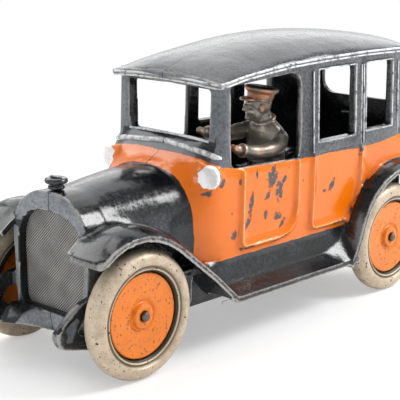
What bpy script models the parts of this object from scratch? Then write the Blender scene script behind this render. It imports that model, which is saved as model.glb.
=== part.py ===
# Cast iron toy taxi, 227 mm long: two body halves, driver, radiator, axles and wheels.
# The front of the toy faces -Y, its left side is +X, and the tyres stand on z = 0.
# Sizes are in millimetres and turned to metres when a mesh is made.
import math

import bmesh
import bpy
from mathutils import Matrix, Vector

MM = 0.001

# Wheels and axles
WHEELBASE = 158.2
WHEEL_RADIUS = 25.0
WHEEL_CENTRE_X = 33.9
TYRE_WIDTH = 9.4
TREAD_FLAT = 2.6
DISC_RADIUS = 16.7
DISC_THICKNESS = 3.0
HUB_RADIUS = 5.0
HUB_RISE = 0.7
AXLE_RADIUS = 1.6
AXLE_HEAD_RADIUS = 2.5
AXLE_HEAD_LENGTH = 1.3
RUNNING_GAP = 0.3
PRESS_GAP = 0.3
WHEEL_SEGMENTS = 24
ARCH_STEPS = 9
FLOOR_CUT = 10.0

# Casting
SEAM_GAP = 0.3
WALL = 2.8
FENDER_THICKNESS = 2.3

# Radiator shell and hood, measured from the front axle and the floor
SHELL_FRONT = -14.3
SHELL_DEPTH = 11.0
SHELL_HALF_WIDTH = 22.2
SHELL_FOOT_HALF_WIDTH = 20.4
SHELL_TOP = 68.9
SHELL_BOTTOM = 19.8
SHELL_STEP = 1.2
OPENING_HALF_WIDTH = 18.9
OPENING_TOP = 60.9
OPENING_BOTTOM = 21.4
# height where the arch starts to curve in, and how square its shoulders are (2 is an ellipse)
SHELL_SPRING = 50.0
SHELL_POWER = 2.1
RIM_DEPTH = 4.2
CORE_THICKNESS = 1.4
CORE_GAP = 0.3
HOOD_END = 36.8
HOOD_END_HALF_WIDTH = 26.8
HOOD_END_TOP = 71.8
HOOD_FOOT = 17.5

# Cabin
WINDSHIELD = 49.0
WINDSHIELD_WALL = 5.0
WINDSHIELD_HALF_WIDTH = 23.2
SILL_HEIGHT = 82.4
WINDSHIELD_TOP = 103.0
REAR_WALL = 180.5
BODY_BOTTOM = 34.4
BELT_HEIGHT = 69.5
BELT_RISE = 3.2
BODY_HALF_WIDTH = 31.2
BODY_FOOT_HALF_WIDTH = 30.4
GLASS_HALF_WIDTH = 30.0
EAVES_HALF_WIDTH = 29.0
EAVES_HEIGHT = 107.0
REAR_GLASS_HALF_WIDTH = 21.5
REAR_GLASS_SILL = 84.5
REAR_GLASS_TOP = 103.0
MOULDING = 0.9

# Roof: centre line and drip edge, each as (y, z) points
ROOF_HALF_WIDTH = 31.0
ROOF_THICKNESS = 2.6
DRIP_DEPTH = 1.8
ROOF_CENTRE = ((45.6, 108.2), (50.4, 110.4), (57.0, 112.8), (66.0, 114.9), (81.0, 117.4),
               (100.0, 119.6), (120.0, 120.1), (140.0, 119.2), (160.0, 117.3), (174.0, 115.0),
               (182.0, 112.3), (186.5, 108.6))
ROOF_EDGE = ((46.6, 106.2), (52.0, 106.9), (61.4, 108.4), (77.6, 109.9), (92.0, 111.0), (115.0, 111.6),
             (142.0, 111.9), (166.0, 111.5), (176.0, 110.2), (183.0, 107.9), (186.5, 106.2))

# Fenders: clock angle round the wheel centre and gap from the tyre to the upper face
FENDER_EDGE = 39.8
FENDER_CROWN = 3.0
FENDER_ROOT = 19.0
LIP_RADIUS = 1.9
FRONT_FENDER = ((131.0, 8.5), (121.0, 8.2), (111.0, 7.7), (101.0, 7.0), (91.0, 6.4), (80.0, 5.6),
                (68.0, 4.9), (54.0, 4.4), (38.0, 5.2), (23.0, 8.4), (11.0, 13.6), (3.0, 18.6),
                (-2.2, 23.2), (-5.0, 26.6))
REAR_FENDER = ((190.0, 10.6), (182.0, 6.6), (170.0, 3.9), (156.0, 3.6), (142.0, 4.0), (127.0, 4.8),
               (111.0, 5.8), (96.0, 6.9), (81.0, 8.2), (66.0, 9.6), (50.0, 10.9), (33.0, 11.2),
               (17.0, 10.8), (4.0, 10.2))
WHEEL_HOUSE_X = 25.0

# Running board: a splash apron drops from the body to the corner, and the step slopes out to a lip.
# Near the rear wheel the corner rises to the fender: distance before the board's end, x, z
APRON_TOP = ((29.2, 34.9), (30.7, 33.9))
BOARD_CORNER = ((200.0, 32.4, 26.4), (18.0, 32.4, 26.4), (12.0, 32.2, 27.6), (7.0, 31.8, 29.6),
                (3.0, 31.3, 31.8), (0.0, 30.9, 33.2))
BOARD_LIP = ((38.9, 21.7), (39.8, 21.4), (39.8, 19.2))
BOARD_THICKNESS = 2.2
BOARD_START = 36.0
BOARD_END_GAP = 27.2

# Frame rails, horns and springs
RAIL_X = 19.5
RAIL_THICKNESS = 2.8
RAIL_BOTTOM = 15.5
HORN_X = 22.0
HORN_WIDTH = 3.2
HORN_TIP = -32.0
SPRING_BOTTOM = 11.0
BOSS_RADIUS = 4.4
EYE_RADIUS = 2.3
VALANCE_FOOT = 12.9

# Lamps
LAMP_X = 28.8
LAMP_FRONT = 43.0
LAMP_HEIGHT = 69.8
LAMP_RADIUS = 4.7
LAMP_DEPTH = 6.5

# Fixings
RIVET_RADIUS = 1.5
RIVET_HEAD_RADIUS = 2.8
RIVET_HEAD_HEIGHT = 1.3
RIVET_GAP = 0.3
LUG_THICKNESS = 3.0
LUG_SIZE = 8.0
HOOD_RIVET_Y = 14.0
HOOD_RIVET_DROP = 8.0
VALANCE_RIVET_Y = -7.2
VALANCE_RIVET_DROP = 3.6
TAIL_RIVET_HIGH = 74.0
TAIL_RIVET_LOW = 44.0

# Radiator cap
CAP_Y = -10.4
CAP_RADIUS = 4.5
CAP_HEIGHT = 5.0
CAP_STEM_RADIUS = 1.4
CAP_STEM_LENGTH = 5.4

# Driver
DRIVER_X = 11.0
DRIVER_Y = 97.5
DRIVER_SHELF = 65.5
SHELF_THICKNESS = 3.0
HEAD_TURN = 35.0
HEAD_TILT = 8.0
TAB_THICKNESS = 2.6
TAB_X = 23.0
TAB_Y = 90.0

SEAM = SEAM_GAP / 2
PAST_SEAM = -6.0
SHELL_BACK = SHELL_FRONT + SHELL_DEPTH
CORE_FRONT = SHELL_FRONT + RIM_DEPTH
AXLE_POSITIONS = {"front": 0.0, "rear": WHEELBASE}

MATERIALS = {
    "black_enamel": ((0.012, 0.012, 0.014), 0.22, 0.0),
    "tyre_paint": ((0.55, 0.52, 0.46), 0.45, 0.6),
    "orange_enamel": ((0.85, 0.22, 0.04), 0.35, 0.0),
    "radiator_mesh": ((0.12, 0.12, 0.12), 0.5, 0.6),
    "driver_bronze": ((0.25, 0.17, 0.12), 0.4, 0.8),
    "bare_steel": ((0.3, 0.28, 0.26), 0.45, 0.9),
}


def material(name):
    found = bpy.data.materials.get(name)
    if found:
        return found
    colour, roughness, metallic = MATERIALS[name]
    made = bpy.data.materials.new(name)
    made.use_nodes = True
    shader = made.node_tree.nodes["Principled BSDF"]
    shader.inputs["Base Color"].default_value = (*colour, 1.0)
    shader.inputs["Roughness"].default_value = roughness
    shader.inputs["Metallic"].default_value = metallic
    return made


def solid(name, vertices, faces):
    """A closed mesh object from millimetre points, with its faces turned outward."""
    mesh = bpy.data.meshes.new(name)
    mesh.from_pydata([Vector(v) * MM for v in vertices], [], faces)
    made = bpy.data.objects.new(name, mesh)
    bpy.context.collection.objects.link(made)
    shape = bmesh.new()
    shape.from_mesh(mesh)
    bmesh.ops.recalc_face_normals(shape, faces=shape.faces)
    shape.to_mesh(mesh)
    shape.free()
    return made


def loft(name, rings):
    """Joins rings of the same number of points into a closed solid with flat ends."""
    count = len(rings[0])
    vertices = [point for ring in rings for point in ring]
    faces = []
    for row in range(len(rings) - 1):
        for column in range(count):
            following = (column + 1) % count
            low = row * count
            high = low + count
            faces.append((low + column, low + following, high + following, high + column))
    faces.append(tuple(range(count)))
    faces.append(tuple(range(len(vertices) - count, len(vertices))))
    return solid(name, vertices, faces)


def prism(name, outline, axis, low, high):
    """Extrudes a flat outline along x, y or z from low to high."""
    slot = "xyz".index(axis)
    return loft(name, [[(*point[:slot], along, *point[slot:]) for point in outline] for along in (low, high)])


def box(name, x, y, z):
    return prism(name, ((x[0], y[0]), (x[1], y[0]), (x[1], y[1]), (x[0], y[1])), "z", z[0], z[1])


def turned(profile, axis, centre, segments):
    """Rings made by turning (distance along the axis, radius) points round x, y or z."""
    rings = []
    for along, radius in profile:
        ring = []
        for step in range(segments):
            angle = 2 * math.pi * (step + 0.5) / segments
            a = radius * math.cos(angle)
            b = radius * math.sin(angle)
            offset = {"x": (along, a, b), "y": (a, along, b), "z": (a, b, along)}[axis]
            ring.append(tuple(c + o for c, o in zip(centre, offset)))
        rings.append(ring)
    return rings


def turned_solid(name, profile, axis, centre, segments):
    return loft(name, turned(profile, axis, centre, segments))


def turned_ring(name, profile, axis, centre, segments):
    """A ring whose closed profile doesn't touch the axis."""
    rings = turned(profile, axis, centre, segments)
    vertices = [point for ring in rings for point in ring]
    faces = []
    for row in range(len(rings)):
        following_row = (row + 1) % len(rings)
        for column in range(segments):
            following = (column + 1) % segments
            faces.append((row * segments + column, row * segments + following,
                          following_row * segments + following, following_row * segments + column))
    return solid(name, vertices, faces)


def combine(target, tool, operation, solver):
    """Applies one boolean and removes the tool."""
    modifier = target.modifiers.new("combine", "BOOLEAN")
    modifier.operation = operation
    modifier.solver = solver
    modifier.object = tool
    graph = bpy.context.evaluated_depsgraph_get()
    mesh = bpy.data.meshes.new_from_object(target.evaluated_get(graph))
    target.modifiers.clear()
    target.data = mesh
    bpy.data.objects.remove(tool)


def join(target, *tools, solver="EXACT"):
    for tool in tools:
        combine(target, tool, "UNION", solver)
    return target


def cut(target, *tools, solver="EXACT"):
    for tool in tools:
        combine(target, tool, "DIFFERENCE", solver)
    return target


def weld(casting, *tools):
    """Joins closed solids to the body casting, whose near-flush walls the exact solver loses."""
    return join(casting, *tools, solver="MANIFOLD")


def carve(casting, *tools):
    return cut(casting, *tools, solver="MANIFOLD")


def smooth(points, steps):
    """Points along a Catmull-Rom curve through the given points."""
    padded = [points[0], *points, points[-1]]
    curve = []
    for index in range(1, len(padded) - 2):
        before, start, end, after = (Vector(padded[index + shift]) for shift in (-1, 0, 1, 2))
        for step in range(steps):
            t = step / steps
            bend = 2 * before - 5 * start + 4 * end - after
            twist = 3 * start - before - 3 * end + after
            curve.append(tuple(start + 0.5 * ((end - before) * t + bend * t ** 2 + twist * t ** 3)))
    curve.append(tuple(padded[-2]))
    return curve


def level(points, at):
    """The height at a station along a list of (station, height) points."""
    for (y0, z0), (y1, z1) in zip(points, points[1:]):
        if at <= y1:
            return z0 + (z1 - z0) * max(0.0, at - y0) / (y1 - y0)
    return points[-1][1]


def rounded(corners, steps=4):
    """A closed outline from (a, b, radius) corners, each rounded with a short arc."""
    outline = []
    count = len(corners)
    for index, (a, b, radius) in enumerate(corners):
        here = Vector((a, b))
        back = (Vector(corners[index - 1][:2]) - here).normalized()
        ahead = (Vector(corners[(index + 1) % count][:2]) - here).normalized()
        if radius == 0:
            outline.append((a, b))
            continue
        half = back.angle(ahead) / 2
        reach = radius / math.tan(half)
        middle = here + (back + ahead).normalized() * (radius / math.sin(half))
        start = here + back * reach - middle
        turn = (here + ahead * reach - middle).angle_signed(start)
        for step in range(steps + 1):
            spoke = start.copy()
            spoke.rotate(Matrix.Rotation(turn * step / steps, 2))
            outline.append(tuple(middle + spoke))
    return outline


def arch(half_width, foot_half_width, top, bottom, spring, power, centre):
    """Half of an arched section from the top centre, round the side, to the bottom centre."""
    points = []
    for step in range(ARCH_STEPS + 1):
        angle = math.pi / 2 * (1 - step / ARCH_STEPS)
        x = half_width * math.cos(angle) ** (2 / power)
        z = spring + (top - spring) * math.sin(angle) ** (2 / power)
        points.append((max(x, centre), z))
    points[0] = (centre, top)
    points.append(((half_width + foot_half_width) / 2, (spring + bottom) / 2))
    points.append((foot_half_width, bottom + 2.0))
    points.append((foot_half_width - 1.6, bottom))
    points.append((centre, bottom))
    return points


def station(section, y):
    return [(x, y, z) for x, z in section]


# Radiator shell and hood

def hood_blend(y):
    return (y - SHELL_BACK) / (HOOD_END - SHELL_BACK)


def hood_section(y, inset=0.0, foot=None, centre=-1.6):
    """The hood widens from the radiator shell to the cowl."""
    share = hood_blend(y)
    front_width = SHELL_HALF_WIDTH - SHELL_STEP
    front_foot = SHELL_FOOT_HALF_WIDTH - SHELL_STEP
    half_width = front_width + (HOOD_END_HALF_WIDTH - front_width) * share ** 1.15 - inset
    foot_width = front_foot + (HOOD_END_HALF_WIDTH - SHELL_STEP - front_foot) * share - inset
    top = SHELL_TOP - 0.3 + (HOOD_END_TOP - SHELL_TOP) * math.sin(math.pi / 2 * share) - inset
    bottom = HOOD_FOOT if foot is None else foot
    spring = SHELL_SPRING - 3.0 * share
    return arch(half_width, foot_width, top, bottom, spring, SHELL_POWER + 0.4 * share, centre)


def shell_section(inset, centre=-1.2):
    return arch(SHELL_HALF_WIDTH - inset, SHELL_FOOT_HALF_WIDTH - inset, SHELL_TOP - inset,
                SHELL_BOTTOM + inset, SHELL_SPRING, SHELL_POWER, centre)


def opening_section(grow=0.0, centre=PAST_SEAM):
    return arch(OPENING_HALF_WIDTH + grow, OPENING_HALF_WIDTH - 0.8 + grow, OPENING_TOP + grow,
                OPENING_BOTTOM - grow, 44.0, 2.6, centre)


def front_solids():
    """The radiator shell and the hood behind it, both solid."""
    shell = loft("shell", [station(shell_section(0.0), y) for y in (SHELL_FRONT, SHELL_BACK)])
    stations = [SHELL_BACK - 0.5 + (HOOD_END + 1.0 - SHELL_BACK) * step / 6 for step in range(7)]
    hood = loft("hood", [station(hood_section(max(y, SHELL_BACK)), y) for y in stations])
    return shell, hood


def front_hollows():
    """The space under the hood, the groove for the radiator mesh, and the opening in front of it."""
    core_back = CORE_FRONT + CORE_THICKNESS + CORE_GAP
    inside = [core_back - 0.1]
    inside += [core_back + (HOOD_END + 2.0 - core_back) * step / 5 for step in range(1, 6)]
    sections = [hood_section(max(y, SHELL_BACK), WALL, -5.0, PAST_SEAM) for y in inside]
    hollow = loft("hollow", [station(section, y) for section, y in zip(sections, inside)])
    floor = box("floor", (PAST_SEAM - 2, 30), (core_back - 1, SHELL_BACK), (-6, OPENING_BOTTOM))
    cut(hollow, floor)
    pocket = loft("pocket", [station(opening_section(0.9), y) for y in (CORE_FRONT - CORE_GAP, core_back)])
    window = loft("window", [station(opening_section(), y) for y in (SHELL_FRONT - 1, core_back)])
    return hollow, pocket, window


# Cowl and cabin

def side_x(z):
    """Half-width of the cabin side at a height: flared door panels, a belt step, upright window posts."""
    line = ((0.0, BODY_FOOT_HALF_WIDTH), (BODY_BOTTOM, BODY_FOOT_HALF_WIDTH), (58.0, BODY_HALF_WIDTH),
            (BELT_HEIGHT, BODY_HALF_WIDTH), (BELT_HEIGHT + BELT_RISE, GLASS_HALF_WIDTH),
            (EAVES_HEIGHT, EAVES_HALF_WIDTH), (EAVES_HEIGHT + 20, EAVES_HALF_WIDTH))
    return level(line, z)


def cowl_section(share, inset=0.0, centre=-2.0, bottom=BODY_BOTTOM):
    """The cowl swells from the hood's arch to the square windshield frame."""
    swell = math.sin(math.pi / 2 * share)
    front_width = HOOD_END_HALF_WIDTH + 0.6
    front_top = HOOD_END_TOP + 0.9
    half_width = front_width + (BODY_HALF_WIDTH - front_width) * swell - inset
    foot = HOOD_END_HALF_WIDTH + (BODY_FOOT_HALF_WIDTH - HOOD_END_HALF_WIDTH) * swell - inset
    top = front_top + (SILL_HEIGHT - front_top) * (0.35 * share + 0.65 * share ** 2) - inset
    return arch(half_width, foot, top, bottom, 47.0 + 14.0 * share, 2.4 + 3.8 * share ** 1.6, centre)


def cabin_section(top, inset=0.0, centre=-2.4, bottom=BODY_BOTTOM):
    heights = (EAVES_HEIGHT, BELT_HEIGHT + BELT_RISE, BELT_HEIGHT, 58.0, BODY_BOTTOM)
    side = [(side_x(z) - inset, z) for z in heights]
    side[0] = (side[0][0], top)
    side[-1] = (side[-1][0], bottom)
    return [(centre, top), *side, (centre, bottom)]


def eaves(y):
    return level(ROOF_EDGE, y) - 1.0


def cabin_solids():
    """The cowl and the closed block of the cabin up to the eaves."""
    shares = (0.0, 0.2, 0.42, 0.64, 0.84, 1.0)
    cowl_y = [HOOD_END + (WINDSHIELD - HOOD_END) * share for share in shares]
    cowl = loft("cowl", [station(cowl_section(share), y) for share, y in zip(shares, cowl_y)]
                + [station(cowl_section(1.0), WINDSHIELD + 1)])
    eased = 1.2
    room_y = (WINDSHIELD + eased, 61.4, 77.6, 92.0, 115.0, 166.0, 176.0, REAR_WALL - eased)
    room = loft("room", [station(cabin_section(eaves(WINDSHIELD), eased), WINDSHIELD)]
                + [station(cabin_section(eaves(y)), y) for y in room_y]
                + [station(cabin_section(eaves(REAR_WALL), eased), REAR_WALL)])
    return cowl, room


def cabin_hollows():
    inner_front = WINDSHIELD + WINDSHIELD_WALL
    inner_back = REAR_WALL - WALL
    inside = cabin_section(130.0, WALL, PAST_SEAM, FLOOR_CUT)
    hollow = loft("hollow", [station(inside, y) for y in (inner_front, inner_back)])
    cowl_stations = ((0.0, HOOD_END - 1), (0.4, 42.0), (0.8, inner_front + 0.1))
    cowl_hollow = loft("cowl_hollow", [station(cowl_section(share, WALL, PAST_SEAM, FLOOR_CUT), y)
                                       for share, y in cowl_stations])
    return hollow, cowl_hollow


def roof():
    """A thin crowned shell with a square drip edge, thin at the visor."""
    edge = smooth(ROOF_EDGE, 3)
    front, visor = ROOF_CENTRE[0][0], ROOF_EDGE[0][0]
    centre_x = -2.8
    inner_half_width = EAVES_HALF_WIDTH - WALL
    rings = []
    for y, top in smooth(ROOF_CENTRE, 2):
        drip = level(edge, y)
        # the front edge bows forward at the middle, so the sides start a little behind it
        shift = (visor - front) * max(0.0, 1 - (y - front) / 10)
        under_edge = drip - DRIP_DEPTH
        under_top = max(top - ROOF_THICKNESS, under_edge + 0.2)
        section = crown(centre_x, ROOF_HALF_WIDTH, drip, top, 7)
        section.append((ROOF_HALF_WIDTH, under_edge))
        section += reversed(crown(centre_x, inner_half_width, under_edge, under_top, 5))
        rings.append([(x, y + shift * (x / ROOF_HALF_WIDTH) ** 2, z) for x, z in section])
    return loft("roof", rings)


def crown(centre_x, half_width, edge_z, top_z, steps):
    """Points from the centre line to the edge of a flat dome that falls steeply only near its edge."""
    shares = [math.sin(math.pi / 2 * step / steps) for step in range(steps + 1)]
    return [(centre_x + (half_width - centre_x) * share, edge_z + (top_z - edge_z) * (1 - share ** 3))
            for share in shares]


def relief(name, outline, height, depth):
    """A slab that follows the cabin side: a raised moulding, or with a great height a cutter."""
    outer = [(side_x(z) + height, y, z) for y, z in outline]
    inner = [(side_x(z) - depth, y, z) for y, z in outline]
    return loft(name, [inner, outer])


# windows, window frames and doors of each half, each corner as (y, z, radius); seen through the
# windshield, the right half's windows sit further forward than the left half's
SIDES = {
    "left": {
        "windows": (
            ((54.6, 71.6, 3.0), (98.0, 70.4, 4.5), (98.6, 106.6, 6.0), (54.6, 104.2, 2.0)),
            ((109.0, 75.6, 1.0), (134.6, 75.6, 1.0), (134.6, 106.4, 1.5), (109.0, 106.2, 2.5)),
            ((143.0, 76.4, 1.0), (162.4, 76.4, 1.0), (162.4, 106.2, 1.0), (143.0, 106.4, 1.0))),
        "frames": (
            ((105.4, 70.6, 0), (139.4, 70.6, 0), (139.4, 109.0, 0), (105.4, 109.0, 0)),
            ((140.9, 71.6, 0), (167.2, 71.6, 0), (167.2, 109.0, 0), (140.9, 109.0, 0))),
        "doors": (
            ((59.6, 70.2, 0), (59.6, 37.4, 4.5), (96.0, 37.4, 13.0), (96.0, 70.2, 0)),
            ((104.6, 70.2, 0), (104.6, 37.0, 4.0), (132.6, 37.0, 5.0), (140.4, 49.0, 9.0),
             (140.4, 70.2, 0))),
    },
    "right": {
        "windows": (
            ((54.6, 71.6, 3.0), (89.0, 70.8, 4.5), (89.0, 106.4, 5.0), (54.6, 104.2, 2.0)),
            ((95.7, 78.8, 1.0), (117.5, 78.8, 1.0), (117.5, 106.4, 1.5), (95.7, 106.2, 2.5)),
            ((126.8, 79.4, 1.0), (146.4, 79.4, 1.0), (146.4, 106.2, 1.0), (126.8, 106.4, 1.0))),
        "frames": (
            ((92.1, 70.6, 0), (123.2, 70.6, 0), (123.2, 109.0, 0), (92.1, 109.0, 0)),
            ((124.7, 71.6, 0), (151.2, 71.6, 0), (151.2, 109.0, 0), (124.7, 109.0, 0))),
        "doors": (
            ((59.6, 70.2, 0), (59.6, 37.4, 4.5), (88.0, 37.4, 12.0), (88.0, 70.2, 0)),
            ((91.8, 70.2, 0), (91.8, 37.0, 4.0), (117.4, 37.0, 5.0), (125.2, 49.0, 9.0),
             (125.2, 70.2, 0))),
    },
}
DOOR_BEAD = 1.7


def shrunk(corners, by):
    """The same corners moved towards the inside of a door, which stays open at the belt."""
    middle = sum(y for y, _, _ in corners) / len(corners)
    return [(y + math.copysign(by, middle - y), z + (by if z < BELT_HEIGHT else 1.0), max(radius - by, 0.0))
            for y, z, radius in corners]


def mouldings(body, side):
    for corners in SIDES[side]["doors"]:
        bead = relief("bead", rounded(corners, 5), MOULDING, 1.0)
        cut(bead, relief("panel", rounded(shrunk(corners, DOOR_BEAD), 5), 4.0, 4.0))
        weld(body, bead)
    for corners in SIDES[side]["frames"]:
        weld(body, relief("frame", rounded(corners), MOULDING, 1.0))
    for corners in SIDES[side]["windows"]:
        carve(body, relief("window", rounded(corners, 4), 6.0, 9.0))
    wide = WINDSHIELD_HALF_WIDTH
    screen = rounded(((PAST_SEAM, SILL_HEIGHT, 0), (wide - 0.6, SILL_HEIGHT, 1.0),
                      (wide, WINDSHIELD_TOP, 1.5), (PAST_SEAM, WINDSHIELD_TOP + 0.8, 0)))
    carve(body, prism("screen", screen, "y", HOOD_END + 6, WINDSHIELD + WINDSHIELD_WALL + 2))
    rear = rounded(((PAST_SEAM, REAR_GLASS_SILL, 0), (REAR_GLASS_HALF_WIDTH, REAR_GLASS_SILL, 7.0),
                    (REAR_GLASS_HALF_WIDTH, REAR_GLASS_TOP, 4.0), (PAST_SEAM, REAR_GLASS_TOP, 0)), 5)
    carve(body, prism("rear_glass", rear, "y", REAR_WALL - WALL - 3, REAR_WALL + 6))
    return body


# Fenders, running board and frame

def fender_path(gaps, axle_y):
    points = []
    for angle, gap in gaps:
        turn = math.radians(angle)
        reach = WHEEL_RADIUS + gap
        points.append((axle_y + reach * math.cos(turn), WHEEL_RADIUS + reach * math.sin(turn)))
    return points


def fender(name, path, across, thickness):
    """A sheet along a path, crowned across its width: across holds (x, rise) from root to edge."""
    rings = []
    for index, (y, z) in enumerate(path):
        before = Vector(path[max(index - 1, 0)])
        after = Vector(path[min(index + 1, len(path) - 1)])
        run = (after - before).normalized()
        up = Vector((-run.y, run.x))
        if up.dot(Vector((y, z)) - Vector((across["centre"], WHEEL_RADIUS))) < 0:
            up = -up
        fade = across["fade"](index / (len(path) - 1))
        ring = []
        for x, rise in across["section"]:
            point = Vector((y, z)) + up * rise * fade
            ring.append((x, point.x, point.y))
        for x, rise in reversed(across["section"]):
            point = Vector((y, z)) + up * (rise * fade - thickness)
            ring.append((x, point.x, point.y))
        rings.append(ring)
    return loft(name, rings)


def front_fender():
    crown = FENDER_CROWN
    section = ((FENDER_ROOT, 0.4 * crown), (22.5, 0.35 * crown), (26.0, 0.85 * crown), (30.0, crown),
               (34.0, 0.9 * crown), (37.4, 0.5 * crown), (FENDER_EDGE, 0.0))
    across = {"centre": 0.0, "section": section,
              "fade": lambda share: min(1.0, 0.2 + 4.0 * share) * (1.0 - 1.6 * max(0.0, share - 0.55))}
    path = fender_path(FRONT_FENDER, 0.0)
    wing = fender("front_fender", path, across, FENDER_THICKNESS)
    lip_y, lip_z = path[0]
    lip_x = FENDER_EDGE - 0.6
    profile = ((22.0, 1.0), (23.0, LIP_RADIUS), (lip_x - 1.0, LIP_RADIUS), (lip_x, 1.0))
    roll = turned_solid("roll", profile, "x", (0.0, lip_y, lip_z - LIP_RADIUS * 0.55), 10)
    return join(wing, roll)


def fender_shadow():
    """The space in front of and under the front fender's lower end, where no running board shows."""
    path = fender_path([(angle, gap - FENDER_THICKNESS / 2) for angle, gap in FRONT_FENDER[6:]], 0.0)
    outline = path + [(path[-1][0], 0.0), (0.0, 0.0)]
    return prism("shadow", outline, "x", RAIL_X + RAIL_THICKNESS + 0.5, FENDER_EDGE + 5)


def rear_fender():
    crown = FENDER_CROWN * 0.7
    section = ((WHEEL_HOUSE_X, 0.6 * crown), (31.0, 0.8 * crown), (34.5, crown),
               (37.8, 0.55 * crown), (FENDER_EDGE + 0.6, 0.0))
    across = {"centre": WHEELBASE, "section": section, "fade": lambda share: min(1.0, 0.2 + 3.0 * share)}
    return fender("rear_fender", fender_path(REAR_FENDER, WHEELBASE), across, FENDER_THICKNESS)


def wheel_house():
    """Clears the body side and floor from the space round the rear wheel."""
    path = fender_path(REAR_FENDER, WHEELBASE)
    outline = path + [(path[-1][0], -8.0), (path[0][0], -8.0)]
    return prism("wheel_house", outline, "x", WHEEL_HOUSE_X + 0.01, 60.0)


def well_wall():
    """The wall beside the rear wheel that closes the cabin where the body side is cut away."""
    path = fender_path([(angle, gap - 0.6) for angle, gap in REAR_FENDER[2:-4]], WHEELBASE)
    back = REAR_WALL - 1.0
    outline = path + [(back, path[-1][1]), (back, 24.0), (path[0][0], 24.0)]
    return prism("well_wall", outline, "x", RAIL_X + RAIL_THICKNESS - 0.3, WHEEL_HOUSE_X + 0.4)


def board_section(corner_x, corner_z):
    under_lip = (BOARD_LIP[0][0] - BOARD_THICKNESS * 0.5, BOARD_LIP[-1][1])
    under_corner = (corner_x - BOARD_THICKNESS * 0.86, corner_z - BOARD_THICKNESS * 0.6)
    inside = (APRON_TOP[0][0] - BOARD_THICKNESS * 0.35, APRON_TOP[0][1] - BOARD_THICKNESS * 0.6)
    return [*APRON_TOP, (corner_x, corner_z), *BOARD_LIP, under_lip, under_corner, inside]


def running_board():
    end = WHEELBASE - BOARD_END_GAP
    stations = [(max(end - before, BOARD_START), x, z) for before, x, z in BOARD_CORNER]
    board = loft("board", [station(board_section(x, z), y) for y, x, z in stations])
    return cut(board, fender_shadow())


def frame_parts():
    """The strip that closes the body side below, and the side rail from the radiator to the tail."""
    back = REAR_WALL - 1.0
    across = (RAIL_X, BODY_FOOT_HALF_WIDTH - 0.4)
    floor = box("floor", across, (26.0, back), (BODY_BOTTOM - 2.6, BODY_BOTTOM + 0.3))
    front = SHELL_FRONT + 2.0
    outline = ((front, SHELL_BOTTOM + 0.8), (8.0, 17.0), (30.0, RAIL_BOTTOM), (100.0, RAIL_BOTTOM),
               (WHEELBASE - 18.2, 18.5), (back - 7.5, 18.5), (back, 26.0), (back, BODY_BOTTOM),
               (16.0, BODY_BOTTOM), (12.0, 31.5), (front, 31.5))
    rail = prism("rail", outline, "x", RAIL_X, RAIL_X + RAIL_THICKNESS)
    return floor, rail


def boss(name, axle_y):
    reach = WHEEL_CENTRE_X - TYRE_WIDTH / 2 - 1.6
    inner = HORN_X if axle_y == 0.0 else RAIL_X
    profile = ((inner, BOSS_RADIUS), (reach - 1.0, BOSS_RADIUS), (reach, BOSS_RADIUS - 0.8))
    return turned_solid(name, profile, "x", (0.0, axle_y, WHEEL_RADIUS), 16)


def horn():
    """Dumb iron above and leaf spring below in one flat plate, with the gap between them."""
    tip = HORN_TIP
    outer = smooth(((12.0, 31.5), (-6.0, 33.0), (-13.0, 33.2), (-18.0, 32.4), (-22.5, 30.4), (-26.0, 28.0),
                    (-29.4, 24.8), (tip + 0.5, 22.8), (tip, 20.8), (-31.2, 18.2), (-29.2, 16.2),
                    (-25.0, 14.9), (-20.0, 13.8), (-12.0, SPRING_BOTTOM + 0.8), (0.0, SPRING_BOTTOM),
                    (12.0, SPRING_BOTTOM + 1.2), (26.0, RAIL_BOTTOM)), 2)
    plate = prism("horn", outer + [(30.0, 24.0)], "x", HORN_X, HORN_X + HORN_WIDTH)
    through = (HORN_X - 1, HORN_X + HORN_WIDTH + 1)
    gap = rounded(((-22.6, 20.4, 1.2), (-15.0, 18.6, 1.2), (-9.0, 19.0, 2.0), (-9.0, 27.4, 2.0),
                   (-17.0, 27.0, 2.0)))
    cut(plate, prism("gap", gap, "x", *through))
    recess = ((-21.2, 27.4), (-25.6, 25.6), (-28.8, 22.6), (-29.4, 20.6), (-28.2, 18.4), (-24.6, 17.2),
              (-23.6, 19.0), (-21.0, 25.0))
    cut(plate, prism("recess", recess, "x", HORN_X + HORN_WIDTH - 1.0, HORN_X + HORN_WIDTH + 1))
    eye = turned_solid("eye", ((HORN_X - 0.5, EYE_RADIUS), (HORN_X + HORN_WIDTH + 0.5, EYE_RADIUS)), "x",
                       (0.0, tip + EYE_RADIUS + 0.1, 21.2), 12)
    return join(plate, eye)


def valance():
    """Splash apron below the radiator, swept forward at its ends to meet the horns."""
    low = VALANCE_FOOT
    high = SHELL_BOTTOM + 0.8
    middle = (high + low) / 2
    rings = []
    # stations as (x, y of the upper edge, y of the lower edge)
    stations = ((-0.8, -14.4, -12.0), (8.0, -14.5, -14.4), (15.4, -15.0, -17.3), (HORN_X + 0.5, -16.4, -21.4))
    for x, top_y, low_y in stations:
        mean_y = (top_y + low_y) / 2
        rings.append([(x, top_y, high), (x, mean_y - 0.3, middle), (x, low_y, low),
                      (x, low_y + 2.2, low + 0.4), (x, mean_y + 2.0, middle), (x, top_y + 2.6, high)])
    return loft("valance", rings)


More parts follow.
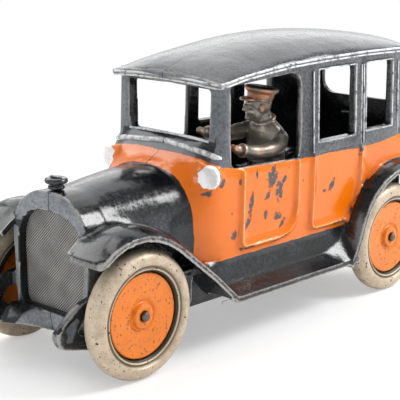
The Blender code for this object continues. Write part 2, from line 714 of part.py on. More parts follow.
def lamp():
    """A shallow round lamp on a short arm cast with the cowl."""
    radius = LAMP_RADIUS
    profile = ((0.0, radius - 0.5), (0.6, radius), (1.6, radius), (3.2, radius - 0.7), (5.0, radius - 1.7),
               (LAMP_DEPTH, radius - 2.6))
    front = LAMP_FRONT
    height = LAMP_HEIGHT
    bowl = turned_solid("lamp", profile, "y", (LAMP_X, front, height), 16)
    root = [(LAMP_X - 6.6, front + along, height + rise)
            for along, rise in ((-1.5, 5.4), (4.5, 6.6), (4.5, 0.2), (-1.0, 0.2))]
    end = [(LAMP_X + 0.4, front + along, height + rise)
           for along, rise in ((1.2, 2.8), (5.0, 3.0), (5.0, -2.4), (1.2, -2.4))]
    return join(bowl, loft("arm", [root, end]))


# Lugs and holes for the rivets that hold the two halves

TAIL_RIVET_Y = REAR_WALL - WALL - LUG_SIZE / 2 - 0.6
RIVETS = {
    "hood_rivet": (HOOD_RIVET_Y, SHELL_TOP - HOOD_RIVET_DROP),
    "valance_rivet": (VALANCE_RIVET_Y, SHELL_BOTTOM - VALANCE_RIVET_DROP),
    "tail_high_rivet": (TAIL_RIVET_Y, TAIL_RIVET_HIGH),
    "tail_low_rivet": (TAIL_RIVET_Y, TAIL_RIVET_LOW),
}
# how far each lug reaches back, down and up from its rivet to the wall that carries it
LUG_REACH = {
    "hood_rivet": (LUG_SIZE / 2, LUG_SIZE / 2, HOOD_RIVET_DROP - WALL / 2),
    "valance_rivet": (LUG_SIZE / 2, LUG_SIZE / 2 - 0.6, VALANCE_RIVET_DROP + 1.0),
    "tail_high_rivet": (LUG_SIZE / 2 + 2.0, LUG_SIZE / 2, LUG_SIZE / 2),
    "tail_low_rivet": (LUG_SIZE / 2 + 2.0, LUG_SIZE / 2, LUG_SIZE / 2),
}


def lugs(body):
    hole = RIVET_RADIUS + RIVET_GAP
    for name, (y, z) in RIVETS.items():
        back, down, up = LUG_REACH[name]
        weld(body, box("lug", (-0.5, SEAM + LUG_THICKNESS), (y - LUG_SIZE / 2, y + back), (z - down, z + up)))
        carve(body, turned_solid("hole", ((-1.0, hole), (LUG_THICKNESS + 2, hole)), "x", (0.0, y, z), 12))
    return body


def cap_socket(body):
    """Half of the hole that grips the radiator cap's stem, with a wider pocket at its foot."""
    stem = CAP_STEM_RADIUS + RIVET_GAP
    foot = SHELL_TOP - CAP_STEM_LENGTH
    profile = ((foot - 1.6, stem + 0.6), (foot + 0.6, stem + 0.6), (foot + 0.9, stem), (SHELL_TOP + 3, stem))
    carve(body, turned_solid("socket", profile, "z", (0.0, CAP_Y, 0.0), 12))
    seat_y = (CAP_Y - CAP_RADIUS, CAP_Y + CAP_RADIUS)
    return carve(body, box("flat", (-1, CAP_RADIUS + 0.5), seat_y, (SHELL_TOP - 0.1, SHELL_TOP + 4)))


def body_half(side):
    """One half of the casting, always built on the left of the seam."""
    shell, hood = front_solids()
    body = weld(shell, hood, *cabin_solids())
    carve(body, *front_hollows(), *cabin_hollows())
    weld(body, *frame_parts())
    carve(body, wheel_house())
    weld(body, well_wall(), roof(), front_fender(), running_board(), rear_fender(), horn(), valance(), lamp())
    mouldings(body, side)
    clear_y = (SHELL_BACK + 1, 20.0, HOOD_END + 1)
    carve(body, loft("clear", [station(hood_section(y, WALL, 25.0, PAST_SEAM - 1), y) for y in clear_y]))
    lugs(body)
    cap_socket(body)
    for place, y in AXLE_POSITIONS.items():
        weld(body, boss("boss", y))
        hole = AXLE_RADIUS + RUNNING_GAP
        profile = ((-1.0, hole), (WHEEL_CENTRE_X, hole))
        carve(body, turned_solid("bore", profile, "x", (0.0, y, WHEEL_RADIUS), 16))
    past_ends = (HORN_TIP - 20, WHEELBASE + 90)
    return carve(body, box("other_half", (PAST_SEAM - 30, SEAM), past_ends, (-20, 200)))


def mirrored(body):
    """The right half: x is turned round, and the faces still look outward."""
    body.data.transform(Matrix.Scale(-1, 4, Vector((1, 0, 0))))
    body.data.flip_normals()
    return body


# Wheels and axles

def tyre_profile():
    half = TYRE_WIDTH / 2
    rim = WHEEL_RADIUS / math.cos(math.pi / WHEEL_SEGMENTS)
    seat = DISC_RADIUS + PRESS_GAP
    tread = TREAD_FLAT / 2
    shoulder = half * 0.7
    stop = -half * 0.3
    return ((-shoulder, rim - 0.8), (-tread, rim), (tread, rim), (shoulder, rim - 0.8), (half, rim - 2.8),
            (half * 0.92, rim - 4.6), (half * 0.72, rim - 5.3), (half * 0.8, rim - 6.2), (half * 0.6, seat),
            (stop, seat), (stop, seat - 2.6), (-half * 0.78, seat - 2.6), (-half, rim - 4.8),
            (-half, rim - 2.8))


def disc_profile():
    """Pressed disc with a low step round the hub; the hub runs inward to the axle boss."""
    half = TYRE_WIDTH / 2
    face = half * 0.5
    back = face - DISC_THICKNESS
    bore = AXLE_RADIUS + RUNNING_GAP
    inner_end = -half - 0.7
    hub_face = face + HUB_RISE
    return ((back, DISC_RADIUS), (face, DISC_RADIUS), (face - 0.5, HUB_RADIUS + 2.6), (face, HUB_RADIUS),
            (hub_face, HUB_RADIUS - 0.4), (hub_face, bore), (inner_end, bore), (inner_end, HUB_RADIUS - 0.4),
            (back, HUB_RADIUS))


def axle_profile():
    hub_face = WHEEL_CENTRE_X + TYRE_WIDTH / 4 + HUB_RISE
    head = hub_face + RUNNING_GAP
    tip = head + AXLE_HEAD_LENGTH
    half = ((head, AXLE_RADIUS), (head, AXLE_HEAD_RADIUS), (tip - 0.5, AXLE_HEAD_RADIUS * 0.92),
            (tip, AXLE_HEAD_RADIUS * 0.5))
    return tuple((-x, r) for x, r in reversed(half)) + half


# Small parts

def rivet(name, centre, axis, grip):
    """A short rivet with a domed head at each end of its grip."""
    inner = grip / 2 + RIVET_GAP
    tip = inner + RIVET_HEAD_HEIGHT
    half = ((inner, RIVET_RADIUS), (inner, RIVET_HEAD_RADIUS), (tip - 0.4, RIVET_HEAD_RADIUS * 0.8),
            (tip, RIVET_HEAD_RADIUS * 0.4))
    profile = tuple((-a, r) for a, r in reversed(half)) + half
    return turned_solid(name, profile, axis, centre, 12)


def radiator_cap():
    base = SHELL_TOP + 0.2
    foot = SHELL_TOP - CAP_STEM_LENGTH
    top = base + CAP_HEIGHT
    stem = CAP_STEM_RADIUS
    wide = CAP_RADIUS
    profile = ((foot - 1.0, stem + 0.5), (foot + 0.3, stem + 0.5), (foot + 0.3, stem), (base, stem),
               (base, wide - 1.2), (base + 1.6, wide - 1.6), (base + 2.2, wide - 0.2), (base + 3.4, wide),
               (top - 0.8, wide - 0.8), (top, wide - 2.6))
    return turned_solid("radiator_cap", profile, "z", (0.0, CAP_Y, 0.0), 16)


def radiator_core():
    """The mesh plate trapped in the groove behind the shell's rim."""
    section = opening_section(0.9 - CORE_GAP, 0.0)
    outline = [(x, z) for x, z in section] + [(-x, z) for x, z in reversed(section[1:-1])]
    return prism("radiator_core", outline, "y", CORE_FRONT, CORE_FRONT + CORE_THICKNESS)


# Driver

def clock(count):
    """Evenly spaced angles for one turn."""
    return [2 * math.pi * step / count for step in range(count)]


def oval(centre, rx, ry):
    x, y, z = centre
    return [(x + rx * math.cos(angle), y + ry * math.sin(angle), z) for angle in clock(14)]


def tube(name, points, radii):
    """A round limb through the points, one radius at each."""
    rings = []
    for index, point in enumerate(points):
        here = Vector(point)
        after = Vector(points[min(index + 1, len(points) - 1)])
        run = (after - Vector(points[max(index - 1, 0)])).normalized()
        side = run.cross(Vector((0, 0, 1))).normalized()
        up = side.cross(run)
        rings.append([here + radii[index] * (side * math.cos(angle) + up * math.sin(angle))
                      for angle in clock(10)])
    return loft(name, rings)


def ball(name, centre, radii, turn=0.0):
    """An ellipsoid with half-sizes radii, turned about the upright axis."""
    spin = Matrix.Rotation(turn, 3, "Z")
    rings = []
    for latitude in (-80, -55, -28, 0, 28, 55, 80):
        reach = math.cos(math.radians(latitude))
        rise = math.sin(math.radians(latitude))
        wide, deep = radii[0] * reach, radii[1] * reach
        ring = [(wide * math.cos(angle), deep * math.sin(angle), radii[2] * rise) for angle in clock(12)]
        rings.append([spin @ Vector(point) + Vector(centre) for point in ring])
    return loft(name, rings)


def driver():
    """The driver's coat, sleeves, hands, head and peaked cap, with a tab below for the rivet."""
    x = DRIVER_X
    y = DRIVER_Y
    base = DRIVER_SHELF + RIVET_GAP
    # the coat as (height, shift back, half-width, half-depth), ending in the neck
    coat = ((0.0, 0.4, 8.6, 7.4), (4.0, 0.5, 9.0, 7.6), (8.5, 0.4, 9.3, 7.4), (12.0, 0.2, 9.3, 7.2),
            (15.0, -0.3, 8.6, 6.4), (17.6, -1.2, 6.4, 5.2), (20.0, -2.4, 4.4, 4.4), (23.5, -3.2, 3.9, 4.0))
    body = loft("driver", [oval((x, y + shift, base + rise), rx, ry) for rise, shift, rx, ry in coat])
    turn = math.radians(HEAD_TURN)
    face = Vector((-math.sin(turn), -math.cos(turn), 0.0))
    up = Vector((0.0, 0.0, 1.0))
    head = Vector((x, y - 4.2, base + 24.4))
    join(body, ball("skull", head + face * 1.2, (4.3, 5.6, 6.4), -turn))
    join(body, ball("nose", head + face * 6.6 - up * 0.5, (0.9, 1.2, 1.7), -turn))
    join(body, ball("chin", head + face * 4.8 - up * 4.6, (2.2, 1.9, 1.6), -turn))
    brow = head + up * 3.0
    crown_profile = ((-0.4, 5.4), (2.6, 6.0), (3.2, 7.3), (4.6, 7.5), (5.8, 6.4))
    cap = turned_solid("cap", crown_profile, "z", (0.0, 0.0, 0.0), 16)
    join(cap, ball("peak", face * 5.6 - up * 0.5, (4.8, 3.6, 0.9), -turn))
    tilt = Matrix.Rotation(math.radians(HEAD_TILT), 4, face.cross(up))
    cap.data.transform(Matrix.Translation(brow * MM) @ tilt)
    join(body, cap)
    # shoulder to cuff, from the middle of the coat's foot: the near forearm lies low, the far one high
    near = ((5.2, 0.6, 13.6), (8.2, 0.0, 11.0), (9.2, -4.0, 7.6), (9.4, -16.0, 7.4), (9.0, -26.0, 9.6))
    far = ((-5.2, 0.6, 13.6), (-9.0, -2.0, 13.2), (-9.6, -10.0, 12.6), (-9.2, -19.0, 13.4),
           (-9.0, -27.0, 14.8))
    foot = Vector((x, y, base))
    for limb in (near, far):
        join(body, tube("sleeve", [foot + Vector(point) for point in limb], (2.6, 3.6, 3.4, 2.8, 2.6)))
        wrist = foot + Vector(limb[-1])
        join(body, ball("hand", wrist + Vector((0, -2.8, 1.2)), (2.1, 3.6, 2.4)))
    tab = rounded(((x + 3, TAB_Y - 4.5, 0), (TAB_X + 3.5, TAB_Y - 4.5, 3.0), (TAB_X + 3.5, TAB_Y + 4.5, 3.0),
                   (x + 3, TAB_Y + 6, 0)), 3)
    join(body, prism("tab", tab, "z", base, base + TAB_THICKNESS))
    head_room = RIVET_HEAD_RADIUS + 0.5
    tab_top = base + TAB_THICKNESS
    rivet_place = (TAB_X, TAB_Y, 0.0)
    room = ((tab_top, head_room), (tab_top + 3.0, head_room))
    cut(body, turned_solid("clearance", room, "z", rivet_place, 12))
    hole = RIVET_RADIUS + RIVET_GAP
    return cut(body, turned_solid("hole", ((base - 1, hole), (tab_top + 1, hole)), "z", rivet_place, 12))


def driver_shelf(body):
    """A bracket inside the left half that the driver is riveted to."""
    top = DRIVER_SHELF
    across = (DRIVER_X - 5, BODY_HALF_WIDTH - 1.5)
    weld(body, box("shelf", across, (TAB_Y - 6, DRIVER_Y + 6), (top - SHELF_THICKNESS, top)))
    hole = RIVET_RADIUS + RIVET_GAP
    return carve(body, turned_solid("hole", ((top - 6, hole), (top + 2, hole)), "z", (TAB_X, TAB_Y, 0.0), 12))


def finish(made, name, look, parent, origin=(0.0, 0.0, 0.0)):
    """Names a piece, gives it its material, and hangs it on its parent at its own origin."""
    made.name = name
    made.data.name = name
    made.data.materials.clear()
    made.data.materials.append(material(look))
    made.data.transform(Matrix.Translation(-Vector(origin) * MM))
    made.location = Vector(origin) * MM
    made.parent = parent
    made.data.shade_smooth()
    made.data.set_sharp_from_angle(angle=math.radians(35))
    return made


for leftover in list(bpy.data.objects):
    bpy.data.objects.remove(leftover)

toy = bpy.data.objects.new("toy_frame", None)
bpy.context.collection.objects.link(toy)

left = body_half("left")
reach = [vertex.co.y for vertex in left.data.vertices]
toy.location.y = -(min(reach) + max(reach)) / 2
right = mirrored(body_half("right"))
driver_shelf(left)
finish(left, "body_left", "black_enamel", toy)
finish(right, "body_right", "black_enamel", toy)
finish(radiator_core(), "radiator_core", "radiator_mesh", toy)
finish(radiator_cap(), "radiator_cap", "black_enamel", toy)
finish(driver(), "driver", "driver_bronze", toy)

for rivet_name, (rivet_y, rivet_z) in RIVETS.items():
    grip_length = SEAM_GAP + 2 * LUG_THICKNESS
    finish(rivet(rivet_name, (0.0, rivet_y, rivet_z), "x", grip_length), rivet_name, "bare_steel", toy)
driver_grip = SHELF_THICKNESS + RIVET_GAP + TAB_THICKNESS
driver_rivet_centre = (TAB_X, TAB_Y, DRIVER_SHELF - SHELF_THICKNESS + driver_grip / 2)
finish(rivet("driver_rivet", driver_rivet_centre, "z", driver_grip), "driver_rivet", "bare_steel", toy)

for place, axle_y in AXLE_POSITIONS.items():
    axle_centre = (0.0, axle_y, WHEEL_RADIUS)
    axle = turned_solid("axle", axle_profile(), "x", axle_centre, 14)
    finish(axle, place + "_axle", "bare_steel", toy, axle_centre)
    for side, sign in (("left", 1), ("right", -1)):
        wheel_centre = (sign * WHEEL_CENTRE_X, axle_y, WHEEL_RADIUS)
        tyre_points = [(sign * along, radius) for along, radius in tyre_profile()]
        disc_points = [(sign * along, radius) for along, radius in disc_profile()]
        tyre = turned_ring("tyre", tyre_points, "x", wheel_centre, WHEEL_SEGMENTS)
        disc = turned_ring("disc", disc_points, "x", wheel_centre, WHEEL_SEGMENTS)
        finish(tyre, "tyre_" + place + "_" + side, "tyre_paint", toy, wheel_centre)
        finish(disc, "disc_" + place + "_" + side, "orange_enamel", toy, wheel_centre)
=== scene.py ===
import math

import bmesh
import bpy
import numpy as np
from mathutils import Matrix, Vector


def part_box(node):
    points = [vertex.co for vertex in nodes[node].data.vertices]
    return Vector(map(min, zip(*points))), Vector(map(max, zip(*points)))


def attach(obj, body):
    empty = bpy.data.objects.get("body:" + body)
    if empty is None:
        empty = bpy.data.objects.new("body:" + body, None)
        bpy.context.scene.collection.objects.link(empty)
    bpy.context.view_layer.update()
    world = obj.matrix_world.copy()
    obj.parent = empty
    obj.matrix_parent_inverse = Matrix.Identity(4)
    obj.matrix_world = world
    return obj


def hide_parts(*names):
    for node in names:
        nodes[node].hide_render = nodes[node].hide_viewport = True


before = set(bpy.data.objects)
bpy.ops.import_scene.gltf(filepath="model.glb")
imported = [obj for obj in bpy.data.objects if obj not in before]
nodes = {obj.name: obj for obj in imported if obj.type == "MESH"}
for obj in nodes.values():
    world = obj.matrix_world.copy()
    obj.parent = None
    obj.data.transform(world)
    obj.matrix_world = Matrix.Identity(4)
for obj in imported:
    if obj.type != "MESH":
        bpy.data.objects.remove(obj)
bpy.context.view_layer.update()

# The body casting.
# Two halves of grey iron poured in sand, with the roof, cowl, hood, fenders and running boards in
# one piece each. Sand leaves every corner soft, so the CAD halves are remeshed and eased.

MM = 0.001
front_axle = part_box("front_axle")
AXLE_Y = (front_axle[0][1] + front_axle[1][1]) / 2
# the voxel size of the casting's remesh, in millimetres
VOXEL = 0.62
EASING_ROUNDS = 24
# half the gap at the seam, how near it the CAD seam face lies, and how far that is pushed past it
SEAM = 0.03
SEAM_FACE = 0.3
OVERRUN = 0.8
# the cabin's front, the outer skin of its back wall, the hood's middle height and the roof's eaves
CABIN_FRONT = 50.5
REAR_SKIN = 179.1
HOOD_MIDDLE = 50.0
EAVES = 105.0


def place(x, y, z):
    """Metres in the model from millimetres measured from the front axle."""
    return Vector((x * MM, y * MM + AXLE_Y, z * MM))


def new_object(name, points, faces):
    """A smooth-shaded mesh object from millimetre points."""
    mesh = bpy.data.meshes.new(name)
    mesh.from_pydata([place(*point) for point in points], [], faces)
    mesh.validate()
    made = bpy.data.objects.new(name, mesh)
    bpy.context.collection.objects.link(made)
    mesh.shade_smooth()
    return made


def bake_modifiers(target):
    """Makes the modifiers' result the object's own mesh."""
    graph = bpy.context.evaluated_depsgraph_get()
    mesh = bpy.data.meshes.new_from_object(target.evaluated_get(graph))
    target.modifiers.clear()
    target.data = mesh
    return target


def ring_loft(name, rings, closed=False):
    """Skins rings of equal count: end caps when open, a full loop when closed."""
    count = len(rings[0])
    points = [point for ring in rings for point in ring]
    faces = []
    for row in range(len(rings) if closed else len(rings) - 1):
        low = row * count
        high = (row + 1) % len(rings) * count
        for column in range(count):
            following = (column + 1) % count
            faces.append((low + column, low + following, high + following, high + column))
    if not closed:
        faces.append(tuple(reversed(range(count))))
        faces.append(tuple(range(len(points) - count, len(points))))
    return outward(new_object(name, points, faces))


def outward(made):
    """Turns the faces of a closed mesh outward."""
    shape = bmesh.new()
    shape.from_mesh(made.data)
    bmesh.ops.recalc_face_normals(shape, faces=shape.faces)
    shape.to_mesh(made.data)
    shape.free()
    return made


def turns(count):
    """Angles spaced evenly round a circle."""
    return [2 * math.pi * step / count for step in range(count)]


def oval(centre, across, over, count):
    """Points round an oval, given its two half-axes."""
    return [tuple(centre + across * math.cos(a) + over * math.sin(a)) for a in turns(count)]


def spots_and_runs(path):
    """Each point of a path, and the way the path runs there."""
    spots = [Vector(point) for point in path]
    return [(spot, (after - before).normalized())
            for before, spot, after in zip(spots[:1] + spots, spots, spots[1:] + spots[-1:])]


def round_bar(name, sign, path, radius):
    """A bar of round section along (x, y, z) points of the left side, or mirrored to the right."""
    rings = []
    for spot, run in spots_and_runs([(sign * x, y, z) for x, y, z in path]):
        across = run.cross(Vector((1, 0, 0)) if abs(run.x) < 0.8 else Vector((0, 0, 1))).normalized()
        rings.append(oval(spot, radius * across, radius * across.cross(run), 8))
    return ring_loft(name, rings)


def merge(name, parts):
    """Joins objects into one mesh object and removes them."""
    points = []
    faces = []
    for part in parts:
        start = len(points)
        points += [vertex.co.copy() for vertex in part.data.vertices]
        faces += [tuple(start + index for index in face.vertices) for face in part.data.polygons]
        bpy.data.objects.remove(part)
    mesh = bpy.data.meshes.new(name)
    mesh.from_pydata(points, [], faces)
    made = bpy.data.objects.new(name, mesh)
    bpy.context.collection.objects.link(made)
    mesh.shade_smooth()
    return made


def fused(name, parts, voxel_mm, rounds):
    """Parts grown into one skin, with its corners eased."""
    made = merge(name, parts)
    remesh = made.modifiers.new("fuse", "REMESH")
    remesh.mode = "VOXEL"
    remesh.voxel_size = voxel_mm * MM
    ease = made.modifiers.new("ease", "SMOOTH")
    ease.factor = 0.5
    ease.iterations = rounds
    return bake_modifiers(made)


def side_x(z):
    """Half-width of the cabin side, which steps in above the belt."""
    return np.interp(z, (34.4, 58.0, 69.5, 72.7, 107.0), (30.4, 31.2, 31.2, 30.0, 29.0))


def rounded(corners, steps=5):
    """Turns (y, z, radius) corners into an outline with round corners."""
    outline = []
    for index, (y, z, radius) in enumerate(corners):
        corner = Vector((y, z))
        before = Vector(corners[index - 1][:2])
        after = Vector(corners[(index + 1) % len(corners)][:2])
        start = corner + (before - corner).normalized() * radius
        end = corner + (after - corner).normalized() * radius
        for step in range(steps + 1 if radius else 1):
            share = step / steps
            outline.append(tuple(start.lerp(corner, share).lerp(corner.lerp(end, share), share)))
    return outline


def side_bead(sign, outline, stand, radius):
    """A raised lip cast along an outline on the cabin side, as a thin bar."""
    return round_bar("bead", sign, [(side_x(z) + stand, y, z) for y, z in outline], radius)


def overrun_seam(source, sign):
    """A copy of one half whose seam face is pushed past the centre plane, so both halves fuse."""
    half = bpy.data.objects.new("half", source.data.copy())
    bpy.context.collection.objects.link(half)
    for vertex in half.data.vertices:
        if sign * vertex.co.x < SEAM_FACE * MM:
            vertex.co.x = -sign * OVERRUN * MM
    return half


# the doors on each side: the front one as (front, back, lower back corner's radius), and the rear one
# as (front, back below the fender's cut, back)
DOORS = {1: ((60.5, 95.1, 12.5), (105.5, 132.3, 139.5)),
         -1: ((60.5, 87.1, 11.5), (92.7, 117.1, 124.3))}
DOOR_TOP = 70.4
DOOR_BEAD_STAND = 0.85
DOOR_BEAD_RADIUS = 0.95
# the two arms of each lamp, and the running board's crease and edge, as (radius, points)
CAST_BARS = ((0.95, ((18.6, 43.4, 75.4), (22.6, 41.7, 73.0), (25.6, 41.7, 70.0))),
             (0.95, ((21.8, 42.7, 75.4), (25.3, 43.2, 74.3), (30.0, 43.0, 72.9))),
             (0.55, ((32.5, 44.0, 26.1), (32.5, 80.0, 26.1), (32.5, 112.0, 26.1))),
             (0.55, ((39.3, 40.0, 21.3), (39.3, 80.0, 21.3), (39.3, 118.0, 21.3))))
raw = [overrun_seam(nodes["body_left"], 1), overrun_seam(nodes["body_right"], -1)]
for sign in (1, -1):
    (front, back, radius), (start, cut, end) = DOORS[sign]
    # the beads open at the belt
    front_door = ((front, DOOR_TOP, 0), (front, 38.3, 4.0), (back, 38.3, radius), (back, DOOR_TOP, 0))
    rear_door = ((start, DOOR_TOP, 0), (start, 37.9, 4.0), (cut, 37.9, 5.0), (end, 49.2, 9.0),
                 (end, DOOR_TOP, 0))
    for door in (front_door, rear_door):
        raw.append(side_bead(sign, rounded(door), DOOR_BEAD_STAND, DOOR_BEAD_RADIUS))
    raw += [round_bar("bar", sign, path, radius) for radius, path in CAST_BARS]
casting = fused("casting", raw, VOXEL, 1)


def values_of(collection, key, width=1, kind=np.float64):
    """One value or vector for each item of a mesh's collection."""
    found = np.empty(len(collection) * width, dtype=kind)
    collection.foreach_get(key, found)
    return found.reshape(-1, width) if width > 1 else found


def mesh_arrays(mesh):
    """A mesh's points in millimetres from the front axle, and its normals."""
    points = values_of(mesh.vertices, "co", 3)
    points[:, 1] -= AXLE_Y
    return points / MM, values_of(mesh.vertex_normals, "vector", 3)


def outer_face(points, normals):
    """Positive on the casting's outer faces and back wall, negative inside the hood and the cabin."""
    x, y, z = np.abs(points[:, 0]), points[:, 1], points[:, 2]
    faces_out = normals[:, 0] * points[:, 0] + normals[:, 2] * (z - HOOD_MIDDLE)
    faces_out = np.where(faces_out > -0.35 * np.hypot(x, z - HOOD_MIDDLE), 3.0, -3.0)
    return np.where(y > CABIN_FRONT, np.maximum(x - (side_x(z) - 1.6), y - REAR_SKIN), faces_out)


def edge_ends(mesh):
    """The two ends of every edge, given both ways round."""
    pairs = values_of(mesh.edges, "vertices", 2, np.int64)
    return np.concatenate((pairs, pairs[:, ::-1])).T


def summed(places, vectors, count):
    """The vectors that fall on each point, added up."""
    return np.stack([np.bincount(places, vectors[:, axis], count) for axis in range(3)], axis=1)


def ease_normals(mesh, rounds):
    """Evens the shading over the facets and keeps edges over 21 degrees; the seam's cut is left out."""
    count = len(mesh.vertices)
    normals = values_of(mesh.polygons, "normal", 3)
    centres = values_of(mesh.polygons, "center", 3)
    corners = values_of(mesh.loops, "vertex_index", kind=np.int64)
    cut_face = (np.abs(centres[:, 0]) < (SEAM + 0.02) * MM) & (np.abs(normals[:, 0]) > 0.99)
    weights = values_of(mesh.polygons, "area") * ~cut_face
    weighted = np.repeat(normals * weights[:, None],
                         values_of(mesh.polygons, "loop_total", kind=np.int64), axis=0)
    eased = summed(corners, weighted, count)
    eased[:, 0] += 1e-12
    eased /= np.linalg.norm(eased, axis=1)[:, None]
    ends, others = edge_ends(mesh)
    for _ in range(rounds):
        alike = np.einsum("ij,ij->i", eased[ends], eased[others]) > 0.93
        eased = eased + summed(ends, eased[others] * alike[:, None], count)
        eased /= np.linalg.norm(eased, axis=1)[:, None]
    mesh.normals_split_custom_set_from_vertices(eased)


def half_casting(name, sign):
    """One half of the remeshed casting, parted at the seam, with its faces thinned out."""
    half = bpy.data.objects.new(name, casting.data.copy())
    bpy.context.collection.objects.link(half)
    low, high = (SEAM, 60.0) if sign > 0 else (-60.0, -SEAM)
    corners = [(x, y, z) for x in (low, high) for y in (-60.0, 230.0) for z in (-10.0, 140.0)]
    block = new_object("block", corners, [(0, 1, 3, 2), (4, 6, 7, 5), (0, 4, 5, 1), (2, 3, 7, 6),
                                          (0, 2, 6, 4), (1, 5, 7, 3)])
    part = half.modifiers.new("part", "BOOLEAN")
    part.operation = "INTERSECT"
    part.solver = "MANIFOLD"
    part.object = outward(block)
    bake_modifiers(half)
    # the sides and the front keep every point, because the paint lines and chips are kept on them
    points, normals = mesh_arrays(half.data)
    y, z = points[:, 1], points[:, 2]
    plain = (outer_face(points, normals) < 0) | (z < 32.0) | (z > 77.0) | (y < 30.0)
    group = half.vertex_groups.new(name="plain")
    group.add([int(index) for index in np.nonzero(plain)[0]], 1.0, "REPLACE")
    thin = half.modifiers.new("thin", "DECIMATE")
    thin.ratio = 0.5
    thin.vertex_group = "plain"
    bake_modifiers(half)
    bpy.data.objects.remove(block)
    half.data.shade_smooth()
    ease_normals(half.data, EASING_ROUNDS)
    return half


body_left = half_casting("casting_left", 1)
body_right = half_casting("casting_right", -1)
bpy.data.objects.remove(casting)

# The paint on the casting.
# Black enamel all over, orange on the doors and cowl below the belt, and silver paint on the lamp
# faces. Where the lines run is kept on the mesh as distances in millimetres.

BELT_LINE = ((36.0, 49.2, 58.4, 96.4, 103.8, 115.8, 139.4, 157.9, 169.8, 182.0),
             (73.1, 73.1, 71.3, 69.9, 69.5, 69.8, 68.8, 69.8, 71.1, 72.0))
# where the orange cowl ends under the windshield, as distances across and along
STRIP_LINE = ((0.0, 16.0, 20.0, 23.3, 26.0, 29.0, 30.6, 32.0),
              (43.9, 44.0, 44.2, 44.6, 45.1, 46.1, 47.8, 49.0))
COWL_START = 36.5
SILL = 34.9
REAR_AXLE_Y = 158.2
WHEEL_HEIGHT = 25.0
# how far the rear fender's edge lies from the axle at each angle, from straight back over the top
FENDER_ANGLES = (4.0, 17.0, 33.0, 50.0, 66.0, 81.0, 96.0, 111.0, 127.0, 142.0, 156.0, 170.0, 182.0,
                 190.0)
FENDER_REACH = (38.2, 38.8, 39.0, 38.2, 36.4, 34.0, 31.9, 30.8, 29.8, 29.0, 28.6, 28.9, 31.6, 35.6)
FENDER_RISE = 1.7
LAMP = (29.3, 43.0, 69.9)
LAMP_RADIUS = 4.2
# chips as (y, z, half-length along y, half-height, lean of the top towards the rear)
CHIPS = ((79.0, 64.8, 3.1, 4.2, 0.1), (83.4, 58.4, 2.7, 4.4, 0.0), (86.4, 62.8, 1.4, 1.6, 0.8),
         (66.0, 55.6, 1.4, 4.6, 0.2), (64.2, 48.0, 1.2, 3.4, 0.5), (76.2, 57.4, 1.7, 1.7, 0.5),
         (75.2, 49.8, 1.2, 2.2, 0.0), (82.9, 47.6, 2.4, 1.8, -0.2), (86.3, 43.8, 1.3, 2.2, 0.6),
         (56.1, 44.0, 1.6, 1.9, 0.0), (63.6, 37.6, 4.2, 0.9, 0.0), (84.5, 37.8, 1.7, 1.5, 3.0),
         (58.6, 66.4, 0.7, 1.8, 0.0), (119.3, 55.0, 1.6, 2.8, 0.6), (114.4, 53.2, 1.4, 0.6, 0.0),
         (124.2, 37.6, 4.0, 1.0, 0.5), (48.4, 66.8, 1.4, 1.8, 0.3), (42.4, 63.4, 2.2, 1.0, 0.0),
         (54.1, 53.5, 0.6, 0.5, 0.0), (138.8, 68.4, 1.0, 2.8, 0.2), (61.7, 41.3, 0.8, 0.7, 0.0),
         (96.5, 64.5, 0.8, 1.0, 0.0), (99.0, 60.0, 0.5, 0.7, 0.0), (69.0, 67.5, 0.7, 1.8, 0.0),
         (89.4, 67.4, 0.5, 0.8, 0.0))
# how far ahead the same chips lie on the right side
RIGHT_CHIPS_SHIFT = 7.0


def orange_distance(points, normals):
    """Millimetres inside the orange paint, negative outside it."""
    x, y, z = np.abs(points[:, 0]), points[:, 1], points[:, 2]
    ahead_of_strip = np.where(z < 95.0, np.interp(x, *STRIP_LINE) - y, -9.0)
    below_line = np.maximum(np.interp(y, *BELT_LINE) - z, ahead_of_strip)
    away_y = y - REAR_AXLE_Y
    away_z = z - WHEEL_HEIGHT
    angle = np.degrees(np.arctan2(away_z, away_y)) % 360
    reach = np.interp(angle, FENDER_ANGLES, FENDER_REACH) + FENDER_RISE
    off_fender = np.where(angle < 200, np.hypot(away_y, away_z) - reach, 9.0)
    widest = np.where(y > 174.0, 31.4, 32.9)
    return np.minimum.reduce([below_line, y - COWL_START, z - SILL, off_fender, widest - x,
                              outer_face(points, normals)])


def dull_sheen_share(points, normals):
    """How far the black paint is painted dull and pale, partly as chalky wear and partly as a painted
    sheen: on the upright outer faces, most of all at the front.
    """
    x, y, z = np.abs(points[:, 0]), points[:, 1], points[:, 2]
    steepest = np.where((y > 43.0) & (z > 60.0), 0.85, 0.5)
    upright = np.clip((steepest - np.abs(normals[:, 2])) / 0.3, 0, 1)
    ahead = np.interp(y, (-9.0, -4.0, 40.0, 46.0, 52.0, 62.0), (1.0, 0.35, 0.3, 0.8, 0.6, 0.35))
    beside = x > np.where(y < 40.0, 24.5, 33.0)
    low_down = np.where(((z < 36.0) & (y > 20.0)) | beside, 0.12, 1.0)
    # the strip under the windshield is bright enamel above the ledge and half dulled below it
    ledge = np.interp(x, (0.0, 15.0, 23.0, 29.0), (80.8, 79.9, 79.0, 77.8))
    under_glass = (y > 43.5) & (y < 51.0) & (z > 74.0) & (z < 82.4) & (x < 26.8)
    low_down = np.where(under_glass, np.where(z > ledge, 0.0, 0.35), low_down)
    # the roof's top is lightened by dust that is partly a painted sheen
    roof_dust_sheen = 0.2 * (z > EAVES) * np.clip((normals[:, 2] - 0.6) / 0.2, 0, 1)
    outside = (outer_face(points, normals) > 0) | (z > EAVES)
    return np.maximum(upright * ahead * low_down, roof_dust_sheen) * outside


